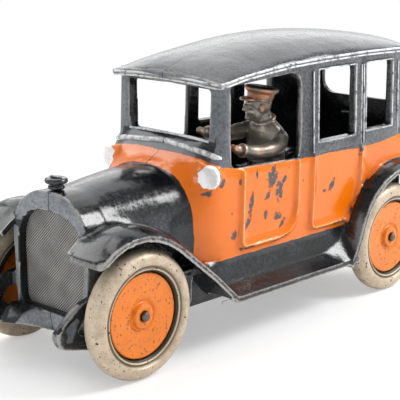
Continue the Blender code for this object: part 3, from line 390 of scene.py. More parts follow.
def silver_distance(points):
    """Millimetres inside the lamp paint, which covers the face and the rim."""
    x, y, z = np.abs(points[:, 0]), points[:, 1], points[:, 2]
    round_lamp = LAMP_RADIUS + 0.5 - np.hypot(x - LAMP[0], z - LAMP[2])
    return np.minimum(round_lamp, LAMP[1] + 1.7 - y)


def chip_depth(points, shift):
    """1 in the middle of a chip, 0 at its edge, negative outside it, down to a floor."""
    y, z = points[:, 1] + shift, points[:, 2]
    depth = np.full(len(points), -2.0)
    for chip_y, chip_z, half_y, half_z, lean in CHIPS:
        up = z - chip_z
        along = y - chip_y - lean * up
        depth = np.maximum(depth, 1.0 - (along / half_y) ** 2 - (up / half_z) ** 2)
    return depth


def edge_sharpness(mesh, points, normals):
    """Positive on outer corners, negative in hollows, about 1 at a tight corner."""
    count = len(points)
    ends, others = edge_ends(mesh)
    run = points[others] - points[ends]
    length = np.linalg.norm(run, axis=1) + 1e-6
    turn = np.einsum("ij,ij->i", normals[others] - normals[ends], run) / length ** 2
    edges = np.bincount(ends, minlength=count)
    value = np.bincount(ends, turn, count) / np.maximum(edges, 1)
    for _ in range(2):
        value = (value + np.bincount(ends, value[others], count)) / (1 + edges)
    return value


def keep_on_mesh(mesh, name, values):
    """Stores one value for each point, for the materials to read."""
    layer = mesh.attributes.new(name, "FLOAT", "POINT")
    layer.data.foreach_set("value", values.astype(np.float32))


for half, shift in ((body_left, 0.0), (body_right, RIGHT_CHIPS_SHIFT)):
    points, normals = mesh_arrays(half.data)
    orange_mm = orange_distance(points, normals)
    keep_on_mesh(half.data, "orange_mm", orange_mm)
    keep_on_mesh(half.data, "silver_mm", silver_distance(points))
    keep_on_mesh(half.data, "dull_sheen", dull_sheen_share(points, normals) * (orange_mm < 0.3))
    keep_on_mesh(half.data, "chip", chip_depth(points, shift))
    # nothing has rubbed the seam or the corners inside the casting, so they get neither wear nor a
    # painted highlight
    inside = (outer_face(points, normals) < 0) & (points[:, 2] < EAVES)
    sheltered = (np.abs(points[:, 0]) < 1.4) | inside
    corner = edge_sharpness(half.data, points, normals)
    keep_on_mesh(half.data, "corner", np.where(sheltered, np.minimum(corner, 0.0), corner))


def linear(code):
    """An sRGB hex colour as linear red, green, blue, alpha."""
    shares = [int(code[start:start + 2], 16) / 255 for start in (0, 2, 4)]
    return (*[share / 12.92 if share <= 0.04045 else ((share + 0.055) / 1.055) ** 2.4
              for share in shares], 1.0)


def add(owner, kind, settings=None, out=0, **inputs):
    """Adds one node. Settings are its properties, or the name of its operation, and each input takes
    a number, a colour code or a source socket."""
    node = owner.node_tree.nodes.new("ShaderNode" + kind)
    if isinstance(settings, str):
        settings = {"operation": settings}
    for name, value in (settings or {}).items():
        setattr(node, name, value)
    for name, value in inputs.items():
        socket = node.inputs[int(name[1:]) if name[1:].isdigit() else name.replace("_", " ")]
        if isinstance(value, bpy.types.NodeSocket):
            owner.node_tree.links.new(value, socket)
        else:
            socket.default_value = linear(value) if isinstance(value, str) else value
    return node.outputs[out] if node.outputs else node


# a Mix node of colours takes them at inputs 6 and 7 and gives its result at output 2
COLOURS = {"data_type": "RGBA"}


def new_material(name):
    """An empty material, and where a point lies on its piece in metres."""
    made = bpy.data.materials.new(name)
    made.use_nodes = True
    made.node_tree.nodes.clear()
    return made, add(made, "TexCoord", out="Object")


def wandering(made, distance, noise, spread, start, end):
    """How far a distance has gone from start to end, along a line that wanders with the noise."""
    drift = add(made, "MapRange", Value=noise, To_Min=-spread, To_Max=spread)
    drifted = add(made, "Math", "ADD", i0=distance, i1=drift)
    return add(made, "MapRange", Value=drifted, From_Min=start, From_Max=end)


def stained(made, colour, over, amount, start, end, most=1.0):
    """A colour with another laid over it as an amount goes from start to end."""
    share = add(made, "MapRange", Value=amount, From_Min=start, From_Max=end, To_Max=most)
    return add(made, "Mix", COLOURS, 2, i0=share, i6=colour, i7=over)


def enamelled_iron():
    """Brushed gloss enamel over a sand casting: wet highlights, grainy iron showing through the paint,
    chips down to dark primer, bright worn corners that also carry a painted highlight, painted shade in
    the hollows and a painted sheen on the upright faces."""
    made, where = new_material("enamelled_cast_iron")
    kept = ("orange_mm", "silver_mm", "chip", "corner", "dull_sheen")
    orange_mm, silver_mm, chip, corner, dull_sheen = (add(made, "Attribute", {"attribute_name": name}, 2)
                                                for name in kept)
    # the sand's own grain of about 0.3 mm is too fine to show, so it is drawn at 1.1 mm; brush waves
    # are 7 mm long, cloudy patches 16 mm, pits 0.7 mm and the ragged edges of flakes 1.7 mm
    sand = add(made, "TexNoise", Vector=where, Scale=1000 / 1.1, Detail=4.0)
    waves = add(made, "TexNoise", Vector=where, Scale=1000 / 7, Detail=2.0)
    patches = add(made, "TexNoise", Vector=where, Scale=1000 / 16, Detail=4.0, Roughness=0.6)
    specks = add(made, "TexNoise", Vector=where, Scale=1000 / 0.7, Detail=2.0)
    ragged = add(made, "TexNoise", Vector=where, Scale=1000 / 1.7, Detail=5.0, Roughness=0.65)
    # where each paint lies, within a slightly wandering brush line
    is_orange = wandering(made, orange_mm, waves, 0.5, -0.12, 0.12)
    is_silver = wandering(made, silver_mm, ragged, 1.0, -0.1, 0.1)
    # chips, with an edge as ragged as flaking enamel
    is_chip = wandering(made, chip, ragged, 3.2, 0.1, 0.2)
    pits = add(made, "MapRange", Value=specks, From_Min=0.735, From_Max=0.76)
    bare = add(made, "Math", "MAXIMUM", i0=pits, i1=is_chip)
    # the parting line between the halves holds dirt
    split = add(made, "SeparateXYZ", None, "X", Vector=where)
    off_centre = add(made, "Math", "ABSOLUTE", i0=split)
    parting = add(made, "MapRange", Value=off_centre, From_Min=0.28 * MM, From_Max=0.16 * MM)
    # corners rubbed bright, partly as wear and partly as a painted highlight; hollows darkened with
    # painted shade
    worn_and_highlight = wandering(made, corner, ragged, 0.22, 0.2, 0.45)
    hollow_shade = add(made, "MapRange", Value=corner, From_Min=-0.1, From_Max=-0.55)
    # black enamel, lightened by fine dust, and chalky grey on the upright faces that is partly chalk and
    # partly a painted sheen
    dusty = add(made, "Math", "MULTIPLY", i0=patches, i1=sand)
    black = stained(made, "0a0b0d", "25282d", dusty, 0.18, 0.42)
    chalk_sheen = add(made, "MapRange", Value=dusty, From_Min=0.15, From_Max=0.35, To_Min=0.45)
    chalky_sheen = add(made, "Math", "MULTIPLY", i0=dull_sheen, i1=chalk_sheen)
    # the pale grey on the black enamel's corners is partly rubbed iron and partly a painted highlight
    for share, over in ((chalky_sheen, "898e94"), (worn_and_highlight, "9a9894")):
        black = add(made, "Mix", COLOURS, 2, i0=share, i6=black, i7=over)
    # orange enamel, deeper in the hollows as painted shade, and paler where it is rubbed, partly as wear
    # and partly as a painted highlight
    orange = add(made, "Mix", COLOURS, 2, i0=patches, i6="df6a02", i7="ea7706")
    pale_wear_and_highlight = add(made, "Math", "MULTIPLY", i0=worn_and_highlight, i1=0.6)
    for share, over in ((hollow_shade, "b4520a"), (pale_wear_and_highlight, "f9b679"), (bare, "45464a")):
        orange = add(made, "Mix", COLOURS, 2, i0=share, i6=orange, i7=over)
    silver = add(made, "Mix", COLOURS, 2, i0=ragged, i6="e8eae8", i7="ffffff")
    colour = black
    for share, over in ((is_orange, orange), (parting, "0b0b0c"), (is_silver, silver)):
        colour = add(made, "Mix", COLOURS, 2, i0=share, i6=colour, i7=over)
    # glossy where the enamel is whole, dull in the chips and on the chalky faces
    flaked = add(made, "Math", "MULTIPLY", i0=is_chip, i1=is_orange)
    blunt = add(made, "Math", "MAXIMUM", i0=flaked, i1=dull_sheen)
    gloss = add(made, "MapRange", Value=sand, From_Min=0.3, From_Max=0.7, To_Min=0.12, To_Max=0.26)
    roughness = add(made, "Math", "MULTIPLY_ADD", i0=blunt, i1=0.25, i2=gloss)
    roughness = add(made, "Math", "MULTIPLY_ADD", i0=is_orange, i1=-0.05, i2=roughness)
    relief = add(made, "Math", "MULTIPLY_ADD", i0=waves, i1=5.0, i2=sand)
    relief = add(made, "Math", "MULTIPLY_ADD", i0=flaked, i1=-1.6, i2=relief)
    # the lamp paint is aluminium flake, thick and crinkled
    crinkle = add(made, "Math", "MULTIPLY", i0=is_silver, i1=ragged)
    relief = add(made, "Math", "MULTIPLY_ADD", i0=crinkle, i1=8.0, i2=relief)
    flakes = add(made, "Math", "MULTIPLY", i0=is_silver, i1=0.15)
    bump = add(made, "Bump", Distance=0.045 * MM, Height=relief)
    shader = add(made, "BsdfPrincipled", Base_Color=colour, Roughness=roughness, Metallic=flakes,
                 IOR=1.45, Normal=bump)
    add(made, "OutputMaterial", Surface=shader)
    return made


def dress(piece, material, slot, body, *replaced):
    """Gives a piece its material and hands it to the frame."""
    piece.data.materials.clear()
    piece.data.materials.append(material)
    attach(piece, body)
    if replaced:
        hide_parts(*replaced)


enamel = enamelled_iron()
dress(body_left, enamel, "black_enamel", "body", "body_left")
dress(body_right, enamel, "black_enamel", "body", "body_right")

# The quarter panels, the roof's drip moulding and the window edges.
# The panel behind the last side window is cast with fine level ribs, like a leathered top. A double
# bead runs round the roof edge like a rain gutter, and thin lips edge the windows and the windshield.

ROOF_EDGE = ((46.6, 106.2), (52.0, 106.9), (61.4, 108.4), (77.6, 109.9), (92.0, 111.0), (115.0, 111.6),
             (142.0, 111.9), (166.0, 111.5), (176.0, 110.2), (183.0, 107.9), (185.6, 106.6))
ROOF_HALF_WIDTH = 30.95
VISOR_EDGE = ((0.3, 46.2, 107.2), (8.0, 46.2, 107.1), (16.0, 46.2, 106.9), (24.0, 46.25, 106.4),
              (29.0, 46.5, 106.1), (30.5, 47.4, 106.2))
# the two beads as (name, how far below the roof's edge, radius)
DRIP_BEADS = (("upper", 0.35, 0.5), ("lower", 1.75, 0.42))
RIB_PITCH = 1.45
# the windows behind the doors and the raised frames round them, as (front, back, low, high)
WINDOW_LIPS = {1: ((108.6, 135.0, 75.2, 106.6), (142.6, 162.8, 76.0, 106.6)),
               -1: ((95.3, 117.9, 78.4, 106.6), (126.4, 146.8, 79.0, 106.6))}
FRAMES = {1: ((105.4, 139.4), (140.9, 167.2)), -1: ((92.1, 123.2), (124.7, 151.2))}
# the windshield's sill and the ledge under it, as (radius, points)
COWL_BARS = ((0.55, ((0.2, 49.1, 83.0), (12.0, 49.1, 82.7), (22.6, 49.1, 82.3))),
             (1.25, ((0.6, 47.2, 80.1), (5.5, 46.9, 79.6), (15.0, 46.3, 79.0), (23.1, 46.5, 78.2),
                     (27.9, 47.4, 77.1), (29.0, 48.6, 76.5), (28.4, 51.5, 76.2))))


def ribbed_panel(name, sign):
    """A skin over the quarter panel whose level ribs sink in at its front and back edges."""
    rows = 120
    low_z, high_z = 73.6, 104.6
    rings = []
    for y in (168.6, 169.3, 174.0, 178.6, 179.6):
        at_edge = y in (168.6, 179.6)
        outer = []
        for row in range(rows + 1):
            z = low_z + (high_z - low_z) * row / rows
            wave = 0.32 * abs(math.sin(math.pi * (z - low_z) / RIB_PITCH)) ** 0.7
            outer.append((sign * (float(side_x(z)) + (0.055 if at_edge else 0.3025 + wave)), y, z))
        inner = [(sign * (float(side_x(z)) - 0.8), y, z) for z in (high_z, low_z)]
        rings.append(outer + inner)
    return ring_loft(name, rings)


def finish(made, colour, grain, roughness, depth_mm, relief=None, metallic=0.0):
    """Ends a material whose grain varies its gloss, as (low, high), and stands up as fine relief."""
    gloss = add(made, "MapRange", Value=grain, From_Min=0.3, From_Max=0.7, To_Min=roughness[0],
                To_Max=roughness[1])
    bump = add(made, "Bump", Distance=depth_mm * MM, Height=grain if relief is None else relief)
    shader = add(made, "BsdfPrincipled", Base_Color=colour, Roughness=gloss, Metallic=metallic,
                 Normal=bump)
    add(made, "OutputMaterial", Surface=shader)
    return made


def plain_enamel():
    """The same black gloss enamel on the small castings."""
    made, where = new_material("black_gloss_enamel")
    sand = add(made, "TexNoise", Vector=where, Scale=1000 / 0.9, Detail=4.0)
    patches = add(made, "TexNoise", Vector=where, Scale=1000 / 8, Detail=3.0)
    dusty = add(made, "Math", "MULTIPLY", i0=patches, i1=sand)
    colour = stained(made, "0d0e10", "34373c", dusty, 0.18, 0.42)
    return finish(made, colour, sand, (0.15, 0.3), 0.04)


def rubbed_enamel(name, whole, rubbed):
    """Black enamel rubbed through to grey iron, in streaks a few millimetres long; its pale tones are
    also a painted highlight on the beads and the ledge and a painted sheen on the ribs.
    """
    made, where = new_material(name)
    streaks = add(made, "TexNoise", Vector=where, Scale=1000 / 3, Detail=5.0, Roughness=0.6)
    colour = stained(made, whole, rubbed, streaks, 0.36, 0.5)
    bump = add(made, "Bump", Distance=0.05 * MM, Height=streaks)
    shader = add(made, "BsdfPrincipled", Base_Color=colour, Roughness=0.25, Normal=bump)
    add(made, "OutputMaterial", Surface=shader)
    return made


black_enamel = plain_enamel()
# the beads and the ledge are pale grey, partly rubbed iron and partly a painted highlight along them
highlit_bead = rubbed_enamel("rubbed_highlit_black_enamel", "67696d", "d4d7d9")
highlit_ledge = rubbed_enamel("rubbed_highlit_iron", "8f9295", "dcdfe1")
# the ribs' grey is partly chalk and partly a painted sheen
chalky_sheen_ribs = rubbed_enamel("chalky_sheen_black_enamel", "5a5d62", "83878b")


for side, sign in (("left", 1), ("right", -1)):
    dress(ribbed_panel("quarter_ribs_" + side, sign), chalky_sheen_ribs, "black_enamel", "body")
    edges = []
    for front, back, low, high in WINDOW_LIPS[sign]:
        loop = [(front, low), (back, low), (back, high), (front, high), (front, low)]
        edges.append(side_bead(sign, loop, 1.2, 0.45))
    for front, back in FRAMES[sign]:
        for y, low in ((front, 71.2), (back, 72.0)):
            edges.append(side_bead(sign, [(y, low), (y, 106.0)], 1.05, 0.35))
    dress(merge("window_edges_" + side, edges), highlit_bead, "black_enamel", "body")
    ledges = [round_bar("bar", sign, path, radius) for radius, path in COWL_BARS]
    dress(merge("cowl_ledge_" + side, ledges), highlit_ledge, "black_enamel", "body")
    for level, drop, radius in DRIP_BEADS:
        run = [(x, y, z - drop) for x, y, z in VISOR_EDGE]
        run += [(ROOF_HALF_WIDTH, y, z - drop) for y, z in ROOF_EDGE[1:]]
        bead = round_bar("drip_bead_" + level + "_" + side, sign, run, radius)
        dress(bead, highlit_bead, "black_enamel", "body")

# The radiator.
# The core is iron wire cloth under thin paint, held behind the shell's rim. The cap is a small casting
# turned and enamelled like the body, with a bar grip across it and its neck let into the shell.

CORE_FRONT = -10.1
MESH_PITCH = 1.25
# the plate's sides are upright below this height and arched above it
SPRING = 44.0
ARCH_POWER = 2.6


def woven_mesh():
    """The core's plate with its wires waved in and out, six points to a wire."""
    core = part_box("radiator_core")
    half = (core[1][0] - core[0][0]) / 2 / MM
    low = core[0][2] / MM
    high = core[1][2] / MM
    step = MESH_PITCH / 6
    columns = int(2 * half / step)
    rows = int((high - low) / step)
    points = []
    for row in range(rows + 1):
        z = low + (high - low) * row / rows
        share = min(max(z - SPRING, 0.0) / (high - SPRING), 1.0)
        reach = half * (1 - share ** ARCH_POWER) ** (1 / ARCH_POWER)
        for column in range(columns + 1):
            x = -reach + 2 * reach * column / columns
            weave = math.sin(2 * math.pi * x / MESH_PITCH) * math.sin(2 * math.pi * z / MESH_PITCH)
            points.append((x, CORE_FRONT - 0.1 - 0.24 * weave, z))
    faces = []
    for row in range(rows):
        for column in range(columns):
            first = row * (columns + 1) + column
            faces.append((first, first + 1, first + columns + 2, first + columns + 1))
    sheet = new_object("radiator_mesh", points, faces)
    thicken = sheet.modifiers.new("plate", "SOLIDIFY")
    thicken.thickness = 0.9 * MM
    thicken.offset = -1.0
    bake_modifiers(sheet)
    sheet.data.shade_smooth()
    return sheet


def mesh_iron():
    """Dull grey iron wire under thin worn paint, with painted shade between the wires and crowns painted
    lighter, partly as wear and partly as a painted highlight.
    """
    made, where = new_material("dark_wire_mesh")
    grit = add(made, "TexNoise", Vector=where, Scale=1000 / 0.6, Detail=3.0)
    cloud = add(made, "TexNoise", Vector=where, Scale=1000 / 9, Detail=3.0)
    split = add(made, "SeparateXYZ", None, "X", Vector=where)
    across = add(made, "Math", "MULTIPLY", i0=split, i1=2000 * math.pi / MESH_PITCH)
    upward = add(made, "Math", "MULTIPLY", i0=split.node.outputs["Z"],
                 i1=2000 * math.pi / MESH_PITCH)
    wave_x = add(made, "Math", "SINE", i0=across)
    wave_z = add(made, "Math", "SINE", i0=upward)
    weave = add(made, "Math", "MULTIPLY", i0=wave_x, i1=wave_z)
    # painted shade between the wires and a painted highlight, partly wear, on their crowns
    colour = stained(made, "101010", "b2b0ab", weave, -0.6, 0.5)
    colour = stained(made, colour, "3b3a37", cloud, 0.35, 0.7, 0.4)
    return finish(made, colour, grit, (0.4, 0.62), 0.03, metallic=0.3)


dress(woven_mesh(), mesh_iron(), "radiator_mesh", "body", "radiator_core")


def lathe(name, profile, axis, centre, segments=64, closed=False):
    """Turns (distance along the axis, radius) points round x or z."""
    rings = []
    for along, radius in profile:
        ring = []
        for angle in turns(segments):
            across, over = radius * math.cos(angle), radius * math.sin(angle)
            spoke = (along, across, over) if axis == "x" else (across, over, along)
            ring.append(tuple(c + s for c, s in zip(centre, spoke)))
        rings.append(ring)
    return ring_loft(name, rings, closed)


def cut_corners(profile, rounds, share, closed=False):
    """Rounds a profile's corners by cutting them off, round after round."""
    line = [Vector(point) for point in profile]
    for _ in range(rounds):
        cut = []
        for before, after in zip(line, line[1:] + line[:1] if closed else line[1:]):
            cut += [before.lerp(after, share), before.lerp(after, 1 - share)]
        line = cut if closed else [line[0], *cut, line[-1]]
    return line


def radiator_cap():
    """The cap's neck, flange and top in one turning, with the bar grip across it."""
    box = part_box("radiator_cap")
    middle_y = ((box[0][1] + box[1][1]) / 2 - AXLE_Y) / MM
    foot, top = box[0][2] / MM, box[1][2] / MM
    flange = 69.15
    profile = ((foot, 1.5), (foot + 1.2, 1.4), (flange, 1.4), (flange, 3.2), (flange + 1.2, 3.3),
               (flange + 1.5, 2.7), (flange + 2.0, 2.8), (flange + 2.4, 4.2), (flange + 3.2, 4.5),
               (top - 1.0, 4.3), (top - 0.45, 3.4), (top - 0.75, 2.4), (top - 0.9, 0.4))
    cap = lathe("cap", cut_corners(profile, 2, 0.25), "z", (0.0, middle_y, 0.0))
    grip = [[(3.4 * math.cos(a) * width, middle_y + 0.95 * math.sin(a) * width, z) for a in turns(20)]
            for z, width in ((top - 1.6, 1.0), (top - 0.35, 1.0), (top - 0.1, 0.9), (top, 0.6))]
    return merge("radiator_cap_turned", [cap, ring_loft("grip", grip)])


dress(radiator_cap(), black_enamel, "black_enamel", "body", "radiator_cap")

# The driver.
# A small iron figure with a bronzed plating: coat, sleeves and a peaked cap, worn to copper on the
# high parts. The face is a plain one of its own, calm and even.

DRIVER = (11.0, 97.5, 65.8)
DRIVER_VOXEL = 0.3


def blob(parts, centre, radii, turn=0.0, tilt=0.0):
    """An ellipsoid, turned about the upright and tilted, added to parts."""
    spin = Matrix.Rotation(turn, 3, "Z") @ Matrix.Rotation(tilt, 3, "X")
    across, over, up = (radius * spin.col[axis] for axis, radius in enumerate(radii))
    rings = []
    for latitude in range(-80, 81, 16):
        reach, rise = math.cos(math.radians(latitude)), math.sin(math.radians(latitude))
        rings.append(oval(Vector(centre) + rise * up, reach * across, reach * over, 24))
    parts.append(ring_loft("blob", rings))


def limb(parts, path, radii):
    """A sleeve or roll of cloth along a path, with a radius at each point, added to parts."""
    rings = []
    for (spot, run), radius in zip(spots_and_runs(path), radii):
        across = run.cross(Vector((0, 0, 1))).normalized()
        rings.append(oval(spot, radius * across, radius * across.cross(run), 20))
    parts.append(ring_loft("limb", rings))


def eased_path(points, steps=5):
    """A Catmull-Rom curve through the points."""
    padded = [points[0], *points, points[-1]]
    curve = []
    for index in range(1, len(padded) - 2):
        before, start, end, after = (Vector(padded[index + shift]) for shift in (-1, 0, 1, 2))
        for step in range(steps):
            t = step / steps
            bend = 2 * before - 5 * start + 4 * end - after
            twist = 3 * start - before - 3 * end + after
            curve.append(tuple(start + 0.5 * ((end - before) * t + bend * t ** 2 + twist * t ** 3)))
    curve.append(tuple(padded[-2]))
    return curve


def driver_figure():
    """The figure from its coat up, fused into one skin."""
    x, y, base = DRIVER
    parts = []
    # the coat as (height, shift to the rear, half-width, half-depth)
    coat = ((0.3, 0.4, 8.3, 7.1), (2.0, 0.4, 8.8, 7.5), (5.0, 0.5, 9.0, 7.6), (8.5, 0.4, 9.2, 7.4),
            (11.5, 0.2, 9.2, 7.2), (14.2, -0.1, 8.7, 6.6), (16.2, -0.6, 7.3, 5.5),
            (17.8, -0.9, 5.6, 4.5), (19.0, -1.2, 4.3, 3.9), (20.6, -1.8, 3.5, 3.5),
            (23.4, -2.8, 3.3, 3.4))
    rings = [[(x + half_x * math.cos(a), y + shift + half_y * math.sin(a), base + rise)
              for a in turns(36)] for rise, shift, half_x, half_y in coat]
    parts.append(ring_loft("coat", rings))
    collar = [(x + 4.3 * math.cos(a), y - 1.4 + 4.3 * math.sin(a), base + 18.4 + 1.7 * math.sin(a))
              for a in [*turns(16), 2 * math.pi]]
    limb(parts, collar, [0.9] * 17)
    turn = math.radians(35.0)
    face = Vector((-math.sin(turn), -math.cos(turn), 0.0))
    side = Vector((math.cos(turn), -math.sin(turn), 0.0))
    up = Vector((0.0, 0.0, 1.0))
    head = Vector((x, y - 4.2, base + 24.6))

    def spot(forward, across, rise):
        return head + face * forward + side * across + up * rise

    # skull, jaw, chin, nose and its tip, and the lips, as (place, radii, tilt)
    middle = (((0.4, 0, 1.2), (4.4, 5.6, 5.6), 0.0), ((2.2, 0, -1.6), (3.6, 4.2, 5.0), 0.0),
              ((4.9, 0, -4.9), (1.7, 1.5, 1.4), 0.0), ((6.2, 0, -0.5), (0.75, 1.0, 2.0), 0.35),
              ((6.9, 0, -1.3), (1.0, 0.9, 0.8), 0.0), ((5.9, 0, -2.9), (1.5, 0.6, 0.35), 0.0),
              ((5.7, 0, -3.7), (1.3, 0.6, 0.4), 0.0))
    for spot_in_head, radii, lean in middle:
        blob(parts, spot(*spot_in_head), radii, -turn, lean)
    # brow, eyelid, cheek and ear on each side
    paired = (((5.3, 1.9, 1.5), (1.5, 0.9, 0.55)), ((4.9, 1.8, 0.1), (1.0, 0.8, 0.6)),
              ((4.2, 2.5, -2.0), (1.3, 1.4, 1.4)), ((0.2, 4.4, -0.3), (0.7, 1.2, 1.8)))
    for (forward, across, rise), radii in paired:
        for sign in (-1, 1):
            blob(parts, spot(forward, sign * across, rise), radii, -turn)
    # the cap: band, puffed crown and a short peak, all tilted back with the head
    tilt = Matrix.Rotation(math.radians(8.0), 3, face.cross(up))
    brow = head + up * 3.0
    side, face, up = tilt @ side, tilt @ face, tilt @ up
    crown = ((-0.5, 5.35), (0.6, 5.5), (0.75, 5.75), (2.5, 5.95), (2.75, 5.8), (3.0, 6.4), (3.7, 7.2),
             (4.4, 7.45), (5.0, 7.3), (5.5, 6.3), (5.7, 4.5), (5.75, 2.0))
    parts.append(ring_loft("cap", [oval(brow + up * rise, side * radius, face * radius, 40)
                                   for rise, radius in crown]))
    peak = []
    for lift, reach in ((-1.0, 3.3), (-0.75, 3.75), (-0.3, 3.9), (0.0, 3.7), (0.25, 3.0)):
        ring = []
        for a in turns(28):
            ahead = reach * math.sin(a)
            droop = 0.045 * ahead ** 2 * (ahead > 0)
            ring.append(tuple(brow + side * 4.7 * math.cos(a) * (reach / 3.9) + face * (5.0 + ahead)
                              + up * (lift - droop)))
        peak.append(ring)
    parts.append(ring_loft("peak", peak))
    near = eased_path(((5.2, 0.6, 13.6), (8.2, 0.0, 11.0), (9.2, -4.0, 7.8), (9.4, -16.0, 7.4),
                       (9.0, -26.0, 9.6)))
    far = eased_path(((-5.2, 0.6, 13.6), (-9.0, -2.0, 13.2), (-9.6, -10.0, 12.6), (-9.2, -19.0, 13.4),
                      (-9.0, -27.0, 14.8)))
    for sleeve in (near, far):
        path = [(x + dx, y + dy, base + dz) for dx, dy, dz in sleeve]
        # fullest at the upper arm, with a step at the cuff and folds between
        share = np.linspace(0, 1, len(path))
        radii = np.interp(share, (0, 0.25, 0.5, 0.93, 0.94, 1.0), (2.6, 3.6, 3.4, 2.6, 2.9, 2.9))
        radii += 0.12 * np.sin(1.7 * np.arange(len(path)))
        limb(parts, path, [float(radius) for radius in radii])
        end = Vector(path[-1])
        blob(parts, end + Vector((0, -2.0, 0.6)), (1.9, 2.8, 1.9), 0.0, -0.2)
        for finger in range(4):
            blob(parts, end + Vector((-1.3 + 0.85 * finger, -4.3, 1.3)), (0.5, 1.3, 1.5), 0.0, 0.3)
        blob(parts, end + Vector((-1.7, -3.2, 2.1)), (0.6, 1.4, 0.6))
    # the tab that the driver is riveted down by
    tab = [(x + 3, 85.7), (26.0, 85.7), (26.4, 88.0), (26.4, 92.0), (26.0, 94.3), (x + 3, 95.7)]
    parts.append(ring_loft("tab", [[(px, py, z) for px, py in tab] for z in (base + 0.05, base + 2.5)]))
    figure = fused("driver_figure", parts, DRIVER_VOXEL, 3)
    figure.data.shade_smooth()
    points, normals = mesh_arrays(figure.data)
    keep_on_mesh(figure.data, "corner", edge_sharpness(figure.data, points, normals))
    # how far up the cap each point lies, for the tones of its band, rim and top
    rise = (points - np.array(brow)) @ np.array(up)
    beside = np.linalg.norm(points - np.array(brow) - np.outer(rise, up), axis=1)
    keep_on_mesh(figure.data, "cap_mm", np.where(beside < 9.6, rise, -9.0))
    return figure


def bronzed_iron():
    """Plating darkened to an olive grey bronze, rubbed back to copper on the high parts."""
    made, where = new_material("bronzed_plating")
    corner = add(made, "Attribute", {"attribute_name": "corner"}, 2)
    fine = add(made, "TexNoise", Vector=where, Scale=1000 / 0.5, Detail=3.0)
    cloud = add(made, "TexNoise", Vector=where, Scale=1000 / 4, Detail=3.0)
    broad = add(made, "TexNoise", Vector=where, Scale=1000 / 9, Detail=2.0)
    rubbed = wandering(made, corner, cloud, 0.6, 0.12, 0.7)
    copper = stained(made, "c2b2a2", "cf8d68", broad, 0.5, 0.62)
    colour = add(made, "Mix", COLOURS, 2, i0=cloud, i6="6a655d", i7="a19b92")
    colour = add(made, "Mix", COLOURS, 2, i0=rubbed, i6=colour, i7=copper)
    colour = stained(made, colour, "191613", corner, -0.3, -1.3, 0.5)
    # the cap has a coppery band and rim, and a black top
    cap_mm = add(made, "Attribute", {"attribute_name": "cap_mm"}, 2)
    band = add(made, "Math", "COMPARE", i0=cap_mm, i1=2.3, i2=2.1)
    banded = add(made, "MapRange", Value=cloud, From_Min=0.3, From_Max=0.55, To_Min=0.3, To_Max=0.9)
    on_band = add(made, "Math", "MULTIPLY", i0=band, i1=banded)
    colour = add(made, "Mix", COLOURS, 2, i0=on_band, i6=colour, i7="b87346")
    colour = stained(made, colour, "17181a", cap_mm, 5.0, 5.4)
    return finish(made, colour, fine, (0.26, 0.42), 0.04, metallic=0.5)


dress(driver_figure(), bronzed_iron(), "driver_bronze", "body", "driver")

# The rivets and axles.
# Soft steel rod, peened over at the ends and left bare, now browned with age. The rivets close the
# two halves, and the axles run loose in bosses cast on them.


def aged_steel():
    """Bare steel gone dull grey-brown, with small dark rust specks."""
    made, where = new_material("aged_bare_steel")
    fine = add(made, "TexNoise", Vector=where, Scale=1000 / 0.5, Detail=3.0)
    specks = add(made, "TexNoise", Vector=where, Scale=1000 / 0.35, Detail=2.0)
    colour = add(made, "Mix", COLOURS, 2, i0=fine, i6="4d4a46", i7="7a7670")
    colour = stained(made, colour, "3a2c22", specks, 0.6, 0.68)
    return finish(made, colour, fine, (0.35, 0.6), 0.03, metallic=0.85)


steel = aged_steel()
for name in ("hood_rivet", "valance_rivet", "tail_high_rivet", "tail_low_rivet", "driver_rivet"):
    nodes[name].data.materials.clear()
    nodes[name].data.materials.append(steel)

WHEEL_X = 33.9
HUB_FACE = 36.95


def peened_axle(name, node):
    """The rod's two ends, swelled into low heads outside the hubs; the hubs hide what lies between."""
    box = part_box(node)
    centre = (0.0, ((box[0][1] + box[1][1]) / 2 - AXLE_Y) / MM, WHEEL_HEIGHT)
    end = box[1][0] / MM
    head = HUB_FACE + 0.3
    half = ((head, 1.5), (head, 1.75), (head + 0.4, 1.85), (end - 0.35, 1.65), (end - 0.01, 1.1),
            (end - 0.1, 0.2))
    profile = [(-along, radius) for along, radius in reversed(half)] + list(half)
    return lathe(name, profile, "x", centre, 40)


dress(peened_axle("front_axle_rod", "front_axle"), steel, "bare_steel", "front_axle", "front_axle")
dress(peened_axle("rear_axle_rod", "rear_axle"), steel, "bare_steel", "rear_axle", "rear_axle")

# The wheels.
# Each is an iron tyre painted aluminium, with a round tread and a beaded inner edge, and a dished
# disc pressed into it, painted orange, with a low boss round the axle.

# (distance outward from the wheel's middle, radius)
TYRE_PROFILE = ((-2.9, 24.35), (-1.4, 24.9), (0.0, 25.0), (1.4, 24.9), (2.9, 24.3), (4.0, 23.2),
                (4.6, 21.8), (4.65, 20.6), (4.3, 19.75), (3.5, 19.35), (3.3, 18.9), (3.6, 18.55),
                (3.75, 18.2), (3.6, 17.85), (3.0, 17.6), (2.8, 17.0), (-1.4, 17.0), (-1.4, 14.45),
                (-3.6, 14.45), (-4.3, 16.5), (-4.6, 19.5), (-4.65, 21.8), (-4.0, 23.4))
DISC_PROFILE = ((-0.6, 16.65), (1.6, 16.65), (2.2, 16.45), (2.4, 16.0), (2.3, 15.2), (2.15, 12.0),
                (2.1, 8.0), (1.95, 6.6), (1.35, 5.9), (1.3, 5.3), (1.9, 4.85), (2.75, 4.6),
                (3.05, 4.1), (3.1, 3.0), (2.95, 1.9), (-5.3, 1.9), (-5.35, 4.4), (-0.65, 4.9))


